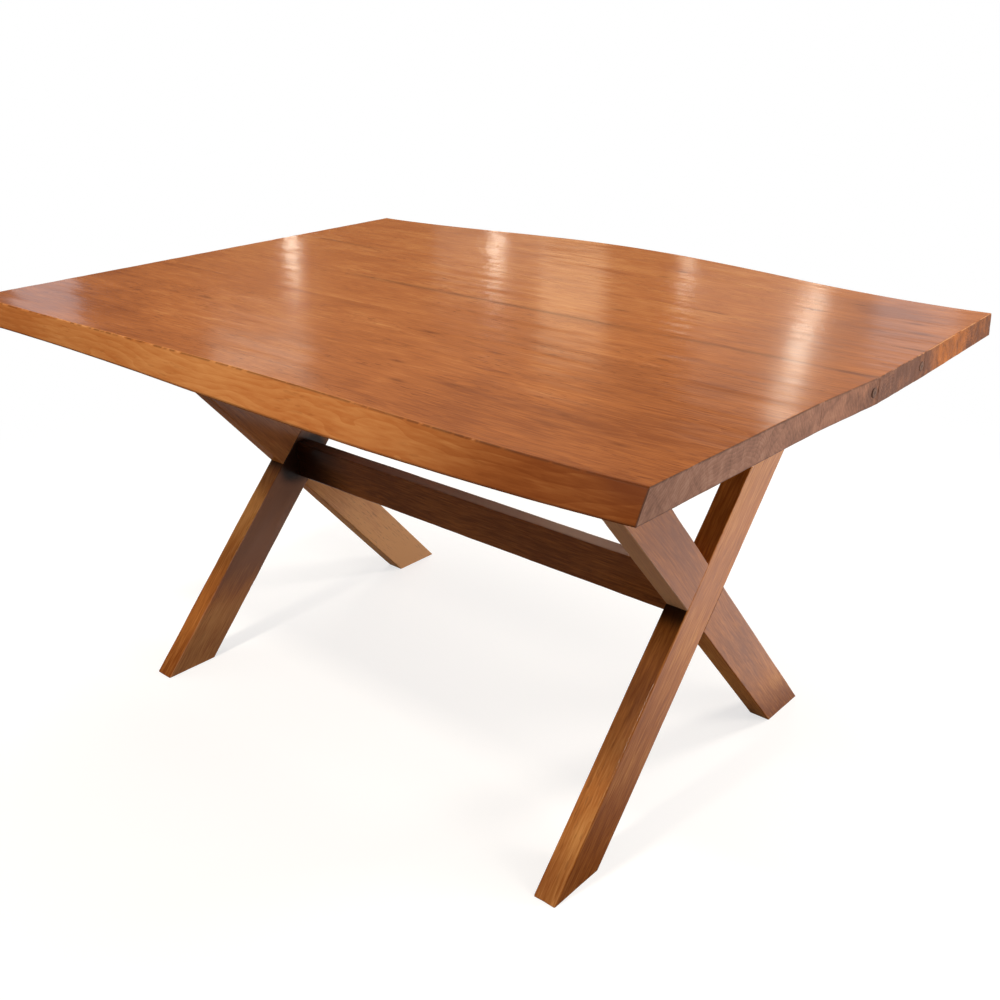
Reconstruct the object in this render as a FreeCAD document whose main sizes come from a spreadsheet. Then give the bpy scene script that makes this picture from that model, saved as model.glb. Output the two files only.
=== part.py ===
import FreeCAD, Part
import math
import os

import Sketcher

# Sawbuck table: four planks on two X frames that one stretcher ties together.
# +X runs along the table, the front is -Y, +Z is up, and the origin lies on the floor
# under the middle of the top's overall length and width. All sizes are in millimetres.

Vector = FreeCAD.Vector

SIZES = [
    ("table_height", 760, "floor to the top face"),
    ("top_thickness", 38, "planks of planed two-inch stock"),
    ("base_offset_x", 8, "middle of the two X frames from the origin"),
    ("base_offset_y", -29, "crossings of the X frames from the origin"),
    ("left_end", 701, "left end of the top from the origin, on the centre line"),
    ("left_end_run", 72, "how much further the left end reaches at the back than at the front"),
    ("front_right_end", 720, "right end from the origin, at the front arris, the seams and the back arris"),
    ("front_seam_right_end", 726, ""),
    ("middle_seam_right_end", 735, ""),
    ("back_seam_right_end", 732, ""),
    ("back_right_end", 721, ""),
    ("front_seam_left", -157, "each seam from the centre line, over the left and the right cleat"),
    ("front_seam_right", -157, ""),
    ("middle_seam_left", -3, ""),
    ("middle_seam_right", -6, ""),
    ("back_seam_left", 205, ""),
    ("back_seam_right", 168, ""),
    ("front_reach_1", 556, "front upper arris from the centre line, at stations from left to right"),
    ("front_reach_2", 547, ""),
    ("front_reach_3", 538, ""),
    ("front_reach_4", 533, ""),
    ("front_reach_5", 538, ""),
    ("front_reach_6", 529, ""),
    ("front_flare_1", 16, "how far the front lower arris stands out past the upper one"),
    ("front_flare_2", 17, ""),
    ("front_flare_3", 29, ""),
    ("front_flare_4", 42, ""),
    ("front_flare_5", 35, ""),
    ("front_flare_6", 23, ""),
    ("back_reach_1", 500, "back upper arris from the centre line, at stations from left to right"),
    ("back_reach_2", 525, ""),
    ("back_reach_3", 563, ""),
    ("back_reach_4", 541, ""),
    ("back_reach_5", 477, ""),
    ("back_reach_6", 455, ""),
    ("back_flare", 15, "how far the back lower arris stands out past the upper one"),
    ("back_end_flare", 6, "the same at the right end"),
    ("tongue_width", 40, "loose tongues in the seams, half in each plank"),
    ("tongue_thickness", 10, ""),
    ("tongue_stop", 25, "solid wood past a tongue's end and past an end pin"),
    ("tongue_fit", 0.2, "groove larger than the tongue all round"),
    ("pin_diameter", 15, "pins in the end grain at the right end"),
    ("pin_length", 45, ""),
    ("pin_setback", 11, "each pin's middle in front of its seam"),
    ("pin_fit", 0.1, "bore larger than the pin all round"),
    ("frame_spacing", 930, "between the inner faces of the X frames"),
    ("leg_thickness", 40, ""),
    ("leg_spread", 750, "across the outer corners of the two feet of one X"),
    ("foot_length", 108, "level cut at a leg's foot and head"),
    ("leg_ease", 3, "rounding of a leg's long arrises"),
    ("stretcher_thickness", 31, ""),
    ("stretcher_height", 74, ""),
    ("stretcher_ease", 2, "rounding of the stretcher's long arrises"),
    ("tenon_length", 28, "stub tenons of the stretcher, through the inner leg into the outer one"),
    ("tenon_thickness", 16, ""),
    ("tenon_height", 46, ""),
    ("tenon_fit", 0.2, "mortise larger than the tenon all round"),
    ("cleat_thickness", 40, "battens under the planks, inside the X frames"),
    ("cleat_height", 60, ""),
    ("cleat_overhang", 15, "cleat past the outer corner of a leg head"),
    ("cleat_nose", 22, "upright part of a cleat's end"),
    ("cleat_bevel", 45, "sloping part of a cleat's end"),
    ("bolt_diameter", 10, "carriage bolts through the leg heads and cleats"),
    ("bolt_fit", 0.3, "bore larger than the bolt all round"),
    ("bolt_head_diameter", 22, ""),
    ("bolt_head_height", 5, ""),
    ("bolt_tail", 3, "bolt past its nut"),
    ("washer_diameter", 26, ""),
    ("washer_thickness", 2, ""),
    ("nut_across_flats", 16, ""),
    ("nut_height", 8, ""),
    ("thread_fit", 0.1, "nut and washer bores larger than the bolt all round"),
    ("screw_diameter", 6, "hex-head coach screws up through the cleats"),
    ("screw_fit", 0.2, "bore larger than the screw all round"),
    ("screw_across_flats", 10, ""),
    ("screw_head_height", 4, ""),
    ("screw_bite", 26, "screw inside the plank"),
    ("screw_offset", 32, "outer screws each side of a leg bolt"),
]
EDGE_STATIONS = 6
DOME_BANDS = 2
HEX_SIDES = 6
PARALLEL = 1e-6  # sine under which two directions count as one
SIDES = {"left": -1, "right": 1}
SEAMS = ("front_seam", "middle_seam", "back_seam")

doc = FreeCAD.newDocument("SawbuckTable")
sheet = doc.addObject("Spreadsheet::Sheet", "Sizes")
for row, (alias, value, note) in enumerate(SIZES, start=1):
    sheet.set(f"A{row}", alias)
    sheet.set(f"B{row}", str(value))
    sheet.set(f"C{row}", note)
    sheet.setAlias(f"B{row}", alias)
doc.recompute()


def number(expression):
    """The value in millimetres of an expression on the sheet's cells."""
    return float(sheet.evalExpression(expression))


# Places that several pieces share, as expressions on the sheet
UNDERSIDE = "(Sizes.table_height - Sizes.top_thickness)"
MID_PLANE = "(Sizes.table_height - Sizes.top_thickness / 2)"
CROSSING_HEIGHT = f"({UNDERSIDE} / 2)"
LEAN = f"((Sizes.leg_spread - Sizes.foot_length) / {UNDERSIDE})"
CLEAT_FOOT = f"({UNDERSIDE} - Sizes.cleat_height)"
CLEAT_MIDDLE = "(Sizes.frame_spacing / 2 - Sizes.cleat_thickness / 2)"
BOLT_HEIGHT = f"({UNDERSIDE} - Sizes.cleat_height / 2)"
BOLT_REACH = f"({LEAN} * ({BOLT_HEIGHT} - {CROSSING_HEIGHT}))"
BOLT_BORE = "Sizes.bolt_diameter + 2 * Sizes.bolt_fit"
SCREW_BORE = "Sizes.screw_diameter + 2 * Sizes.screw_fit"
LEFT_SKEW = "(Sizes.left_end_run / (Sizes.front_reach_1 + Sizes.back_reach_1))"


# Sketches and features that the boards share


def sketch_on(body, role, name, offset="0"):
    """An empty sketch on one of the body's origin planes, moved along its normal by offset."""
    plane = [feature for feature in body.Origin.OriginFeatures if feature.Role == role][0]
    sketch = body.newObject("Sketcher::SketchObject", name)
    sketch.AttachmentSupport = [(plane, "")]
    sketch.MapMode = "FlatFace"
    sketch.setExpression("AttachmentOffset.Base.z", offset)
    return sketch


def hold(sketch, direction, geometry, point, expression):
    """Ties one coordinate of a sketch point to an expression, measured from the origin."""
    value = number(expression)
    if value >= 0:
        ends = (-1, 1, geometry, point)
    else:
        ends = (geometry, point, -1, 1)
        expression = f"-({expression})"
    index = sketch.addConstraint(Sketcher.Constraint(direction, *ends, abs(value)))
    sketch.setExpression(f"Constraints[{index}]", expression)


def polygon(body, role, name, corners, offset="0"):
    """A closed outline whose corners are pairs of expressions."""
    sketch = sketch_on(body, role, name, offset)
    places = [Vector(number(across), number(up), 0) for across, up in corners]
    count = len(places)
    for index in range(count):
        sketch.addGeometry(Part.LineSegment(places[index], places[(index + 1) % count]))
    for index in range(count):
        sketch.addConstraint(Sketcher.Constraint("Coincident", index, 2, (index + 1) % count, 1))
    for index, (across, up) in enumerate(corners):
        hold(sketch, "DistanceX", index, 1, across)
        hold(sketch, "DistanceY", index, 1, up)
    return sketch


def section(body, name, half_across, half_up, offset="0"):
    """A rectangle about the crossing, square to the table's length."""
    low, high = f"{CROSSING_HEIGHT} - {half_up}", f"{CROSSING_HEIGHT} + {half_up}"
    near, far = f"-{half_across}", half_across
    return polygon(body, "YZ_Plane", name, [(near, low), (far, low), (far, high), (near, high)], offset)


def circles(body, role, name, centres, diameter):
    """Circles of one diameter at centres that are pairs of expressions."""
    sketch = sketch_on(body, role, name)
    for index, (across, up) in enumerate(centres):
        centre = Vector(number(across), number(up), 0)
        sketch.addGeometry(Part.Circle(centre, Vector(0, 0, 1), number(diameter) / 2))
        hold(sketch, "DistanceX", index, 3, across)
        hold(sketch, "DistanceY", index, 3, up)
        size = sketch.addConstraint(Sketcher.Constraint("Diameter", index, number(diameter)))
        sketch.setExpression(f"Constraints[{size}]", diameter)
    return sketch


def pad(body, sketch, length, sides="One side"):
    """A board pushed out of its outline, to one side of it or, if Symmetric, to both."""
    feature = body.newObject("PartDesign::Pad", f"{sketch.Name}_pad")
    feature.Profile = sketch
    feature.setExpression("Length", length)
    feature.SideType = sides
    doc.recompute()
    return feature


def pocket(body, sketch, depth=None, forward=True):
    """A cut along or against the sketch's normal, right through where no depth is given."""
    before = body.Shape.Volume
    feature = body.newObject("PartDesign::Pocket", f"{sketch.Name}_pocket")
    feature.Profile = sketch
    feature.Reversed = forward
    if depth:
        feature.setExpression("Length", depth)
    else:
        feature.Type = "ThroughAll"
    doc.recompute()
    if not body.Shape.Volume < before:
        raise RuntimeError(f"{feature.Name} cuts nothing")


def ease(body, feature, along, radius):
    """Rounds the edges of a feature that run along one direction."""
    names = []
    for index, edge in enumerate(feature.Shape.Edges, start=1):
        run = edge.lastVertex().Point - edge.firstVertex().Point
        if run.cross(along).Length < PARALLEL * run.Length * along.Length:
            names.append(f"Edge{index}")
    fillet = body.newObject("PartDesign::Fillet", f"{feature.Name}_ease")
    fillet.Base = (feature, names)
    fillet.setExpression("Radius", radius)
    doc.recompute()


def new_body(label, place_x):
    """An empty body on the base's centre line, at an X place given as an expression."""
    body = doc.addObject("PartDesign::Body", label)
    body.Label = label
    body.setExpression("Placement.Base.x", f"Sizes.base_offset_x + ({place_x})")
    body.setExpression("Placement.Base.y", "Sizes.base_offset_y")
    return body


def solids_node(label, solids):
    """One node that holds a solid or a group of separate solids."""
    node = doc.addObject("Part::Feature", label)
    node.Label = label
    node.Shape = solids[0] if len(solids) == 1 else Part.makeCompound(solids)


# Legs: two leaning boards to an X, halved into each other and mortised for the stretcher


def leg_outline(body, name, lean, offset="0"):
    """The slanted board's outline, from the foot on one side to the head on the other."""
    outer = "(Sizes.leg_spread / 2)"
    inner = "(Sizes.leg_spread / 2 - Sizes.foot_length)"
    foot_sign, head_sign = ("-", "") if lean > 0 else ("", "-")
    corners = [
        (f"{foot_sign}{outer}", "0"),
        (f"{foot_sign}{inner}", "0"),
        (f"{head_sign}{outer}", UNDERSIDE),
        (f"{head_sign}{inner}", UNDERSIDE),
    ]
    return polygon(body, "YZ_Plane", name, corners, offset)


def leg(side, layer, lean):
    """One leg. Its lap is cut from the half that the other leg keeps whole."""
    label = f"{side}_{layer}_leg"
    right = side == "right"
    half_spacing = "Sizes.frame_spacing / 2"
    place = half_spacing if right else f"-({half_spacing} + Sizes.leg_thickness)"
    body = new_body(label, place)
    board = pad(body, leg_outline(body, f"{label}_board", lean), "Sizes.leg_thickness")
    ease(body, board, Vector(0, lean * number(LEAN), 1), "Sizes.leg_ease")
    lap_on_low_side = right == (layer == "outer")
    lap_offset = "0" if lap_on_low_side else "Sizes.leg_thickness"
    lap = leg_outline(body, f"{label}_lap", -lean, lap_offset)
    pocket(body, lap, "Sizes.leg_thickness / 2", forward=lap_on_low_side)
    half_across = "(Sizes.tenon_thickness / 2 + Sizes.tenon_fit)"
    half_up = "(Sizes.tenon_height / 2 + Sizes.tenon_fit)"
    mortise_offset = "0" if right else "Sizes.leg_thickness"
    mortise = section(body, f"{label}_mortise", half_across, half_up, mortise_offset)
    pocket(body, mortise, "Sizes.tenon_length + Sizes.tenon_fit", forward=right)
    head_centre = (BOLT_REACH if lean > 0 else f"-{BOLT_REACH}", BOLT_HEIGHT)
    pocket(body, circles(body, "YZ_Plane", f"{label}_bore", [head_centre], BOLT_BORE))


# Stretcher: one rail with a stub tenon at each end


def stretcher():
    """The rail between the crossings, with its shoulders on the inner faces of the X frames."""
    body = new_body("stretcher", "0")
    half_across, half_up = "(Sizes.stretcher_thickness / 2)", "(Sizes.stretcher_height / 2)"
    rail = section(body, "stretcher_rail", half_across, half_up)
    board = pad(body, rail, "Sizes.frame_spacing", sides="Symmetric")
    ease(body, board, Vector(1, 0, 0), "Sizes.stretcher_ease")
    tenons = section(body, "stretcher_tenons", "(Sizes.tenon_thickness / 2)", "(Sizes.tenon_height / 2)")
    pad(body, tenons, "Sizes.frame_spacing + 2 * Sizes.tenon_length", sides="Symmetric")


# Cleats: a batten under the planks, inside each X frame


def screw_places(side):
    """Y places of one cleat's screws from the crossings, as expressions.

    A pair holds each outer plank, beside the leg bolt, and one screw the middle of each inner plank.
    """
    front, middle, back = [f"(Sizes.{seam}_{side} - Sizes.base_offset_y)" for seam in SEAMS]
    places = [f"({front} + {middle}) / 2", f"({middle} + {back}) / 2"]
    for bolt in (f"-{BOLT_REACH}", BOLT_REACH):
        places += [f"{bolt} - Sizes.screw_offset", f"{bolt} + Sizes.screw_offset"]
    return places


def cleat(side):
    """A bevelled batten against the planks and the inner faces of the leg heads."""
    label = f"{side}_cleat"
    half_spacing = "Sizes.frame_spacing / 2"
    place = f"-{half_spacing}" if side == "left" else f"{half_spacing} - Sizes.cleat_thickness"
    body = new_body(label, place)
    half = "(Sizes.leg_spread / 2 + Sizes.cleat_overhang)"
    nose = f"{UNDERSIDE} - Sizes.cleat_nose"
    corners = [
        (f"-{half}", UNDERSIDE),
        (f"-{half}", nose),
        (f"-({half} - Sizes.cleat_bevel)", CLEAT_FOOT),
        (f"{half} - Sizes.cleat_bevel", CLEAT_FOOT),
        (half, nose),
        (half, UNDERSIDE),
    ]
    pad(body, polygon(body, "YZ_Plane", f"{label}_board", corners), "Sizes.cleat_thickness")
    bolts = [(f"{sign}{BOLT_REACH}", BOLT_HEIGHT) for sign in ("-", "")]
    pocket(body, circles(body, "YZ_Plane", f"{label}_bolt_bores", bolts, BOLT_BORE))
    screws = [("Sizes.cleat_thickness / 2", place) for place in screw_places(side)]
    pocket(body, circles(body, "XY_Plane", f"{label}_screw_bores", screws, SCREW_BORE))


# Fasteners and pins: turned shapes, one group to a node


def placed(solid, start, axis):
    """A solid that was made up along Z from zero, set on start and turned along axis."""
    solid.Placement = FreeCAD.Placement(start, FreeCAD.Rotation(Vector(0, 0, 1), axis))
    return solid


def turned(profile, start, axis):
    """A solid of revolution. The profile's points are (radius, height) pairs up from start."""
    points = [Vector(radius, 0, height) for radius, height in profile]
    face = Part.Face(Part.makePolygon(points + points[:1]))
    return placed(face.revolve(Vector(), Vector(0, 0, 1), 360), start, axis)


def dome(radius, height):
    """Points of a round head's profile: a ball's arc from its pole to its rim at height zero."""
    ball = (radius**2 + height**2) / (2 * height)
    rim_angle = math.asin(radius / ball)
    angles = [rim_angle * band / DOME_BANDS for band in range(DOME_BANDS + 1)]
    return [(ball * math.sin(angle), ball * (1 - math.cos(angle)) - height) for angle in angles]


def hexagon(across_flats, height):
    """A six-sided block, up from zero."""
    corner = across_flats / 2 / math.cos(math.pi / HEX_SIDES)
    turns = [2 * math.pi * index / HEX_SIDES for index in range(HEX_SIDES + 1)]
    corners = [Vector(corner * math.cos(turn), corner * math.sin(turn), 0) for turn in turns]
    return Part.Face(Part.makePolygon(corners)).extrude(Vector(0, 0, height))


def leg_hardware(side):
    """Carriage bolts through the leg heads and the cleat, with a washer and a nut on each."""
    inward = Vector(-SIDES[side], 0, 0)
    radius = sheet.bolt_diameter / 2
    grip = sheet.leg_thickness + sheet.cleat_thickness
    length = grip + sheet.washer_thickness + sheet.nut_height + sheet.bolt_tail
    bolt = dome(sheet.bolt_head_diameter / 2, sheet.bolt_head_height)
    bolt += [(radius, 0), (radius, length), (0, length)]
    bore, rim = radius + sheet.thread_fit, sheet.washer_diameter / 2
    ring = [(bore, 0), (rim, 0), (rim, sheet.washer_thickness), (bore, sheet.washer_thickness)]
    block = hexagon(sheet.nut_across_flats, sheet.nut_height)
    nut = block.cut(Part.makeCylinder(bore, sheet.nut_height)).Solids[0]
    outer_face = sheet.base_offset_x + SIDES[side] * (sheet.frame_spacing / 2 + sheet.leg_thickness)
    bolts, washers, nuts = [], [], []
    for sign in (-1, 1):
        spot = Vector(outer_face, sheet.base_offset_y + sign * number(BOLT_REACH), number(BOLT_HEIGHT))
        washer_seat = spot + inward * grip
        nut_seat = washer_seat + inward * sheet.washer_thickness
        bolts.append(turned(bolt, spot, inward))
        washers.append(turned(ring, washer_seat, inward))
        nuts.append(placed(nut.copy(), nut_seat, inward))
    solids_node(f"{side}_leg_bolts", bolts)
    solids_node(f"{side}_leg_washers", washers)
    solids_node(f"{side}_leg_nuts", nuts)


def screw_spots(side):
    """The points on one cleat's lower face where its screws go in."""
    x = sheet.base_offset_x + SIDES[side] * number(CLEAT_MIDDLE)
    places = [sheet.base_offset_y + number(place) for place in screw_places(side)]
    return [Vector(x, y, number(CLEAT_FOOT)) for y in places]


def cleat_screws(side):
    """Coach screws up through one cleat, with their heads on its lower face."""
    length = sheet.cleat_height + sheet.screw_bite
    shank = Part.makeCylinder(sheet.screw_diameter / 2, length)
    head = hexagon(sheet.screw_across_flats, sheet.screw_head_height)
    head.translate(Vector(0, 0, -sheet.screw_head_height))
    screw = head.fuse(shank).Solids[0]
    upward = Vector(0, 0, 1)
    screws = [placed(screw.copy(), spot, upward) for spot in screw_spots(side)]
    solids_node(f"{side}_cleat_screws", screws)


def pin_spots():
    """The middles of the two pins' faces, each in the plank in front of its seam."""
    spots = []
    for front, seam in zip(SEAMS, SEAMS[1:]):
        near, far = seam_right(front, 0), seam_right(seam, 0)
        share = sheet.pin_setback / (far.y - near.y)
        spots.append(far + (near - far) * share + Vector(0, 0, number(MID_PLANE)))
    return spots


def end_pins():
    """Round pins, flush with the end grain."""
    radius, length, inward = sheet.pin_diameter / 2, sheet.pin_length, Vector(-1, 0, 0)
    profile = [(0, 0), (radius, 0), (radius, length), (0, length)]
    solids_node("end_pins", [turned(profile, spot, inward) for spot in pin_spots()])


# Seams: straight lines that neighbouring planks share, each with a loose tongue


def seam_y(seam, x):
    """Where a seam's straight line lies at a place along the table."""
    left = sheet.base_offset_x - number(CLEAT_MIDDLE)
    right = sheet.base_offset_x + number(CLEAT_MIDDLE)
    start, end = number(f"Sizes.{seam}_left"), number(f"Sizes.{seam}_right")
    return start + (end - start) * (x - left) / (right - left)


def seam_left_x(seam):
    """Where a seam's line meets the skewed line of the left end."""
    start, skew = seam_y(seam, 0), number(LEFT_SKEW)
    slope = seam_y(seam, 1) - start
    return -(sheet.left_end + skew * start) / (1 + skew * slope)


def seam_right(seam, height):
    """Where a seam's line meets the right end."""
    x = number(f"Sizes.{seam}_right_end")
    return Vector(x, seam_y(seam, x), height)


def tongue_blank(seam, fit):
    """A tongue grown by fit all round. It stops short of the planks' ends and of the pins."""
    stop = sheet.pin_length + sheet.tongue_stop - fit
    left, right = seam_left_x(seam) + stop, seam_right(seam, 0).x - stop
    half_across, half_up = sheet.tongue_width / 2 + fit, sheet.tongue_thickness / 2 + fit
    low = number(MID_PLANE) - half_up
    route = [(left, -half_across), (right, -half_across), (right, half_across), (left, half_across)]
    corners = [Vector(x, seam_y(seam, x) + across, low) for x, across in route]
    face = Part.Face(Part.makePolygon(corners + corners[:1]))
    return face.extrude(Vector(0, 0, 2 * half_up))


# Planks: lofted between their lower and upper outlines, then grooved and bored


def hollows():
    """Every groove, screw bore and pin bore in the top, as one group of cutting solids."""
    cutters = [tongue_blank(seam, sheet.tongue_fit) for seam in SEAMS]
    depth = sheet.cleat_height + sheet.screw_bite + sheet.screw_fit
    for side in SIDES:
        radius = number(SCREW_BORE) / 2
        cutters += [Part.makeCylinder(radius, depth, spot) for spot in screw_spots(side)]
    radius, depth = sheet.pin_diameter / 2 + sheet.pin_fit, sheet.pin_length + sheet.pin_fit
    outside, inward = Vector(sheet.pin_diameter, 0, 0), Vector(-1, 0, 0)
    for spot in pin_spots():
        cutters.append(Part.makeCylinder(radius, depth + outside.Length, spot + outside, inward))
    return Part.makeCompound(cutters)


def natural_edge(reaches, right, height):
    """A smooth edge through stations spread evenly from the left end to the right end."""
    start = -sheet.left_end - number(LEFT_SKEW) * reaches[0]
    step = (right - start) / (EDGE_STATIONS - 1)
    points = [Vector(start + index * step, reach, height) for index, reach in enumerate(reaches)]
    curve = Part.BSplineCurve()
    curve.interpolate(points)
    return curve.toShape()


def seam_edge(seam, height):
    """A straight edge along a seam, from the left end to the right end."""
    left = seam_left_x(seam)
    return Part.makeLine(Vector(left, seam_y(seam, left), height), seam_right(seam, height))


def front_edges(height, flare_share):
    """The front plank's edges at one height, with that share of the natural edge's flare."""
    reaches = []
    for station in range(1, EDGE_STATIONS + 1):
        flare = number(f"Sizes.front_flare_{station}") * flare_share
        reaches.append(-number(f"Sizes.front_reach_{station}") - flare)
    return natural_edge(reaches, sheet.front_right_end, height), seam_edge("front_seam", height)


def middle_front_edges(height, _):
    """The straight edges of the plank in front of the middle seam."""
    return seam_edge("front_seam", height), seam_edge("middle_seam", height)


def middle_back_edges(height, _):
    """The straight edges of the plank behind the middle seam."""
    return seam_edge("middle_seam", height), seam_edge("back_seam", height)


def back_edges(height, flare_share):
    """The back plank's edges at one height, with that share of the natural edge's flare."""
    reaches = []
    for station in range(1, EDGE_STATIONS + 1):
        flare = sheet.back_flare if station < EDGE_STATIONS else sheet.back_end_flare
        reaches.append(number(f"Sizes.back_reach_{station}") + flare * flare_share)
    return seam_edge("back_seam", height), natural_edge(reaches, sheet.back_right_end, height)


def outline(front, back):
    """A plank's closed outline from its front and back edges, both drawn from left to right."""
    front_left, front_right = [front.valueAt(end) for end in front.ParameterRange]
    back_left, back_right = [back.valueAt(end) for end in back.ParameterRange]
    right_end = Part.makeLine(front_right, back_right)
    left_end = Part.makeLine(back_left, front_left)
    return Part.Wire([front, right_end, back, left_end])


def plank(label, edges):
    """One plank between its lower outline, at the full flare, and its upper one."""
    lower = outline(*edges(number(UNDERSIDE), 1))
    upper = outline(*edges(sheet.table_height, 0))
    board = Part.makeLoft([lower, upper], True, True)
    solids_node(label, board.cut(hollows()).Solids)


plank("front_plank", front_edges)
plank("middle_front_plank", middle_front_edges)
plank("middle_back_plank", middle_back_edges)
plank("back_plank", back_edges)
for seam in SEAMS:
    solids_node(f"{seam}_tongue", [tongue_blank(seam, 0)])
end_pins()
for side, outer_lean in (("right", 1), ("left", -1)):
    leg(side, "outer", outer_lean)
    leg(side, "inner", -outer_lean)
    cleat(side)
    cleat_screws(side)
    leg_hardware(side)
stretcher()
doc.recompute()

nodes = [item for item in doc.RootObjects if item.isDerivedFrom("Part::Feature")]
for item in doc.Objects:
    if "Invalid" in item.State or "Error" in item.State:
        raise RuntimeError(f"{item.Label} failed: {item.State}")
for node in nodes:
    if node.Shape.isNull() or not node.Shape.isValid():
        raise RuntimeError(f"{node.Label} has no valid shape")

os.makedirs("parts", exist_ok=True)
for node in nodes:
    node.Shape.exportStep(f"parts/{node.Label}.step")
    print(node.Label, len(node.Shape.Solids), "solids", round(node.Shape.Volume / 1000, 1), "cm3")
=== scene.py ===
# %% [markdown]
# # A sawbuck table, dressed in Blender
#
# The table is four thick pine planks on two X frames, which one stretcher ties together.
# Its construction is already there as a imported CAD model, the frame. This lesson keeps that model's
# sizes and gives each board what a planed and varnished old board has: rounded arrises,
# small chips, a surface that isn't quite flat, and grain that runs through the wood.
#
# The frame comes in first.

# %% Load the frame
import math
from types import SimpleNamespace

import bmesh
import bpy
import numpy as np
from mathutils import Matrix, Vector


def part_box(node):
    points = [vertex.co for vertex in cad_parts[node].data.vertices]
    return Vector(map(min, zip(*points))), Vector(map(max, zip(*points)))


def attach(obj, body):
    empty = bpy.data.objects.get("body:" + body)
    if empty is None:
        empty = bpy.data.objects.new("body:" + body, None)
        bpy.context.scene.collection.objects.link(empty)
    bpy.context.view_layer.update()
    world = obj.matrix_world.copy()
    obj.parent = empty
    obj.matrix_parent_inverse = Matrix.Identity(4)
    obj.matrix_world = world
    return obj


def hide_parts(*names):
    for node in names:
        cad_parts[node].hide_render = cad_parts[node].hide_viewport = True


MM = 0.001
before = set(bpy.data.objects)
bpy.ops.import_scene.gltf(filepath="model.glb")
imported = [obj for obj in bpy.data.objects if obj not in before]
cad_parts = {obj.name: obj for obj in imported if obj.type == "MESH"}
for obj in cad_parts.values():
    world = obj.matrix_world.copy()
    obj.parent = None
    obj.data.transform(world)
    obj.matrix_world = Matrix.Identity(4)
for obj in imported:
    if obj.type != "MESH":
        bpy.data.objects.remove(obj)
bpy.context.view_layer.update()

# %% [markdown]
# ## Sizes come from the frame
#
# A board that replaces a CAD node has to lie where the node lies, so its corners are read from
# the node's own vertices. Copying the numbers by hand would work too, until someone changes a size.
# A node that groups several fasteners is split where its vertices leave a gap along Y.

# %% Read places from the nodes
TOUCH = 0.05 * MM  # vertices this close to a plane lie on it


def vertices(node):
    """All vertices of a CAD node, in metres."""
    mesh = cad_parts[node].data
    flat = np.empty(len(mesh.vertices) * 3)
    mesh.vertices.foreach_get("co", flat)
    return flat.reshape(-1, 3)


def at_height(node, height):
    """The node's vertices that lie at one height."""
    points = vertices(node)
    return points[np.abs(points[:, 2] - height) < TOUCH]


def pieces_of(node, gap=8 * MM):
    """Boxes of a group's separate solids, split where the Y places leave a gap."""
    points = vertices(node)
    points = points[np.argsort(points[:, 1])]
    breaks = np.flatnonzero(np.diff(points[:, 1]) > gap) + 1
    return [(part.min(axis=0), part.max(axis=0)) for part in np.split(points, breaks)]


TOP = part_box("front_plank")[1].z
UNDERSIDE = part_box("front_plank")[0].z
THICK = TOP - UNDERSIDE
print("top", round(TOP, 3), "planks", round(THICK / MM, 1), "mm thick")

# %% [markdown]
# ## One surface for every board
#
# A board could be a cube with a Bevel modifier, but then every arris is equally sharp and every
# face is dead flat. Here a board is a grid instead: stations along its length, and a walk round its
# section. The walk goes along four flats and round four arrises. Towards the ends the
# section shrinks, first round the end arris and then across the end grain to the middle line,
# so one grid closes the whole board.

# %% The walk round a section
BEND = 5  # facets round an arris
SUPPORT = np.array([0.8, 2.5]) * MM  # lines beside an arris, which keep wear and shading close to it


def flat_places(half, step):
    """Places from -1 to 1 along a flat of this half length, closer together near its two ends."""
    inner = half - SUPPORT[-1]
    count = max(2, int(round(2 * inner / step)))
    middle = np.linspace(-inner, inner, count + 1)
    return np.concatenate([-half + SUPPORT[:-1], middle, half - SUPPORT[-2::-1]]) / half


def walk(flat_p, flat_q):
    """The walk as unit places: for each point, the corner side it leans to and the way it faces.

    A flat's point faces square out of its side. A corner's points turn by a quarter circle.
    """
    turn = np.linspace(0, math.pi / 2, BEND + 1)
    sides, facings = [], []
    for quarter, flat in enumerate((flat_p, flat_q, flat_p, flat_q)):
        angle = quarter * math.pi / 2
        run = np.array([math.cos(angle), math.sin(angle)])
        face = np.array([math.sin(angle), -math.cos(angle)])
        sides.append(flat[:, None] * run + face)
        facings.append(np.tile(face, (len(flat), 1)))
        sides.append(np.tile(run + face, (len(turn), 1)))
        facings.append(np.cos(turn)[:, None] * face + np.sin(turn)[:, None] * run)
    return np.concatenate(sides), np.concatenate(facings)


trial = walk(flat_places(40 * MM, 5 * MM), flat_places(20 * MM, 5 * MM))[0]
print("round a section of 80 by 40 mm:", len(trial), "points")

# %% The stations along a board
CAP_RINGS = 6  # rings across the end grain


def stations(length, radius, depth, step, extra=()):
    """Distances along the board, and how far the section shrinks at each.

    Across the end grain the shrink runs from depth, the middle line, to radius. Round the end
    arris it is radius * (1 - sin a) at a distance of radius * (1 - cos a) from the end.
    """
    turn = np.linspace(0, math.pi / 2, BEND + 1)
    cap = np.linspace(depth, radius, CAP_RINGS, endpoint=False)
    bend_along, bend_in = radius * (1 - np.cos(turn)), radius * (1 - np.sin(turn))
    inner = radius + SUPPORT[-1]
    count = int(round((length - 2 * inner) / step))
    body = np.concatenate([radius + SUPPORT, np.linspace(inner, length - inner, count + 1)[1:-1],
                           length - radius - SUPPORT[::-1], np.asarray(extra)])
    body = np.sort(body)
    along = np.concatenate([0 * cap, bend_along, body, length - bend_along[::-1], length + 0 * cap])
    shrink = np.concatenate([cap, bend_in, 0 * body, bend_in[::-1], cap[::-1]])
    return along, shrink


print("along a metre of board:", len(stations(1, 2 * MM, 20 * MM, 5 * MM)[0]), "stations")

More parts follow.
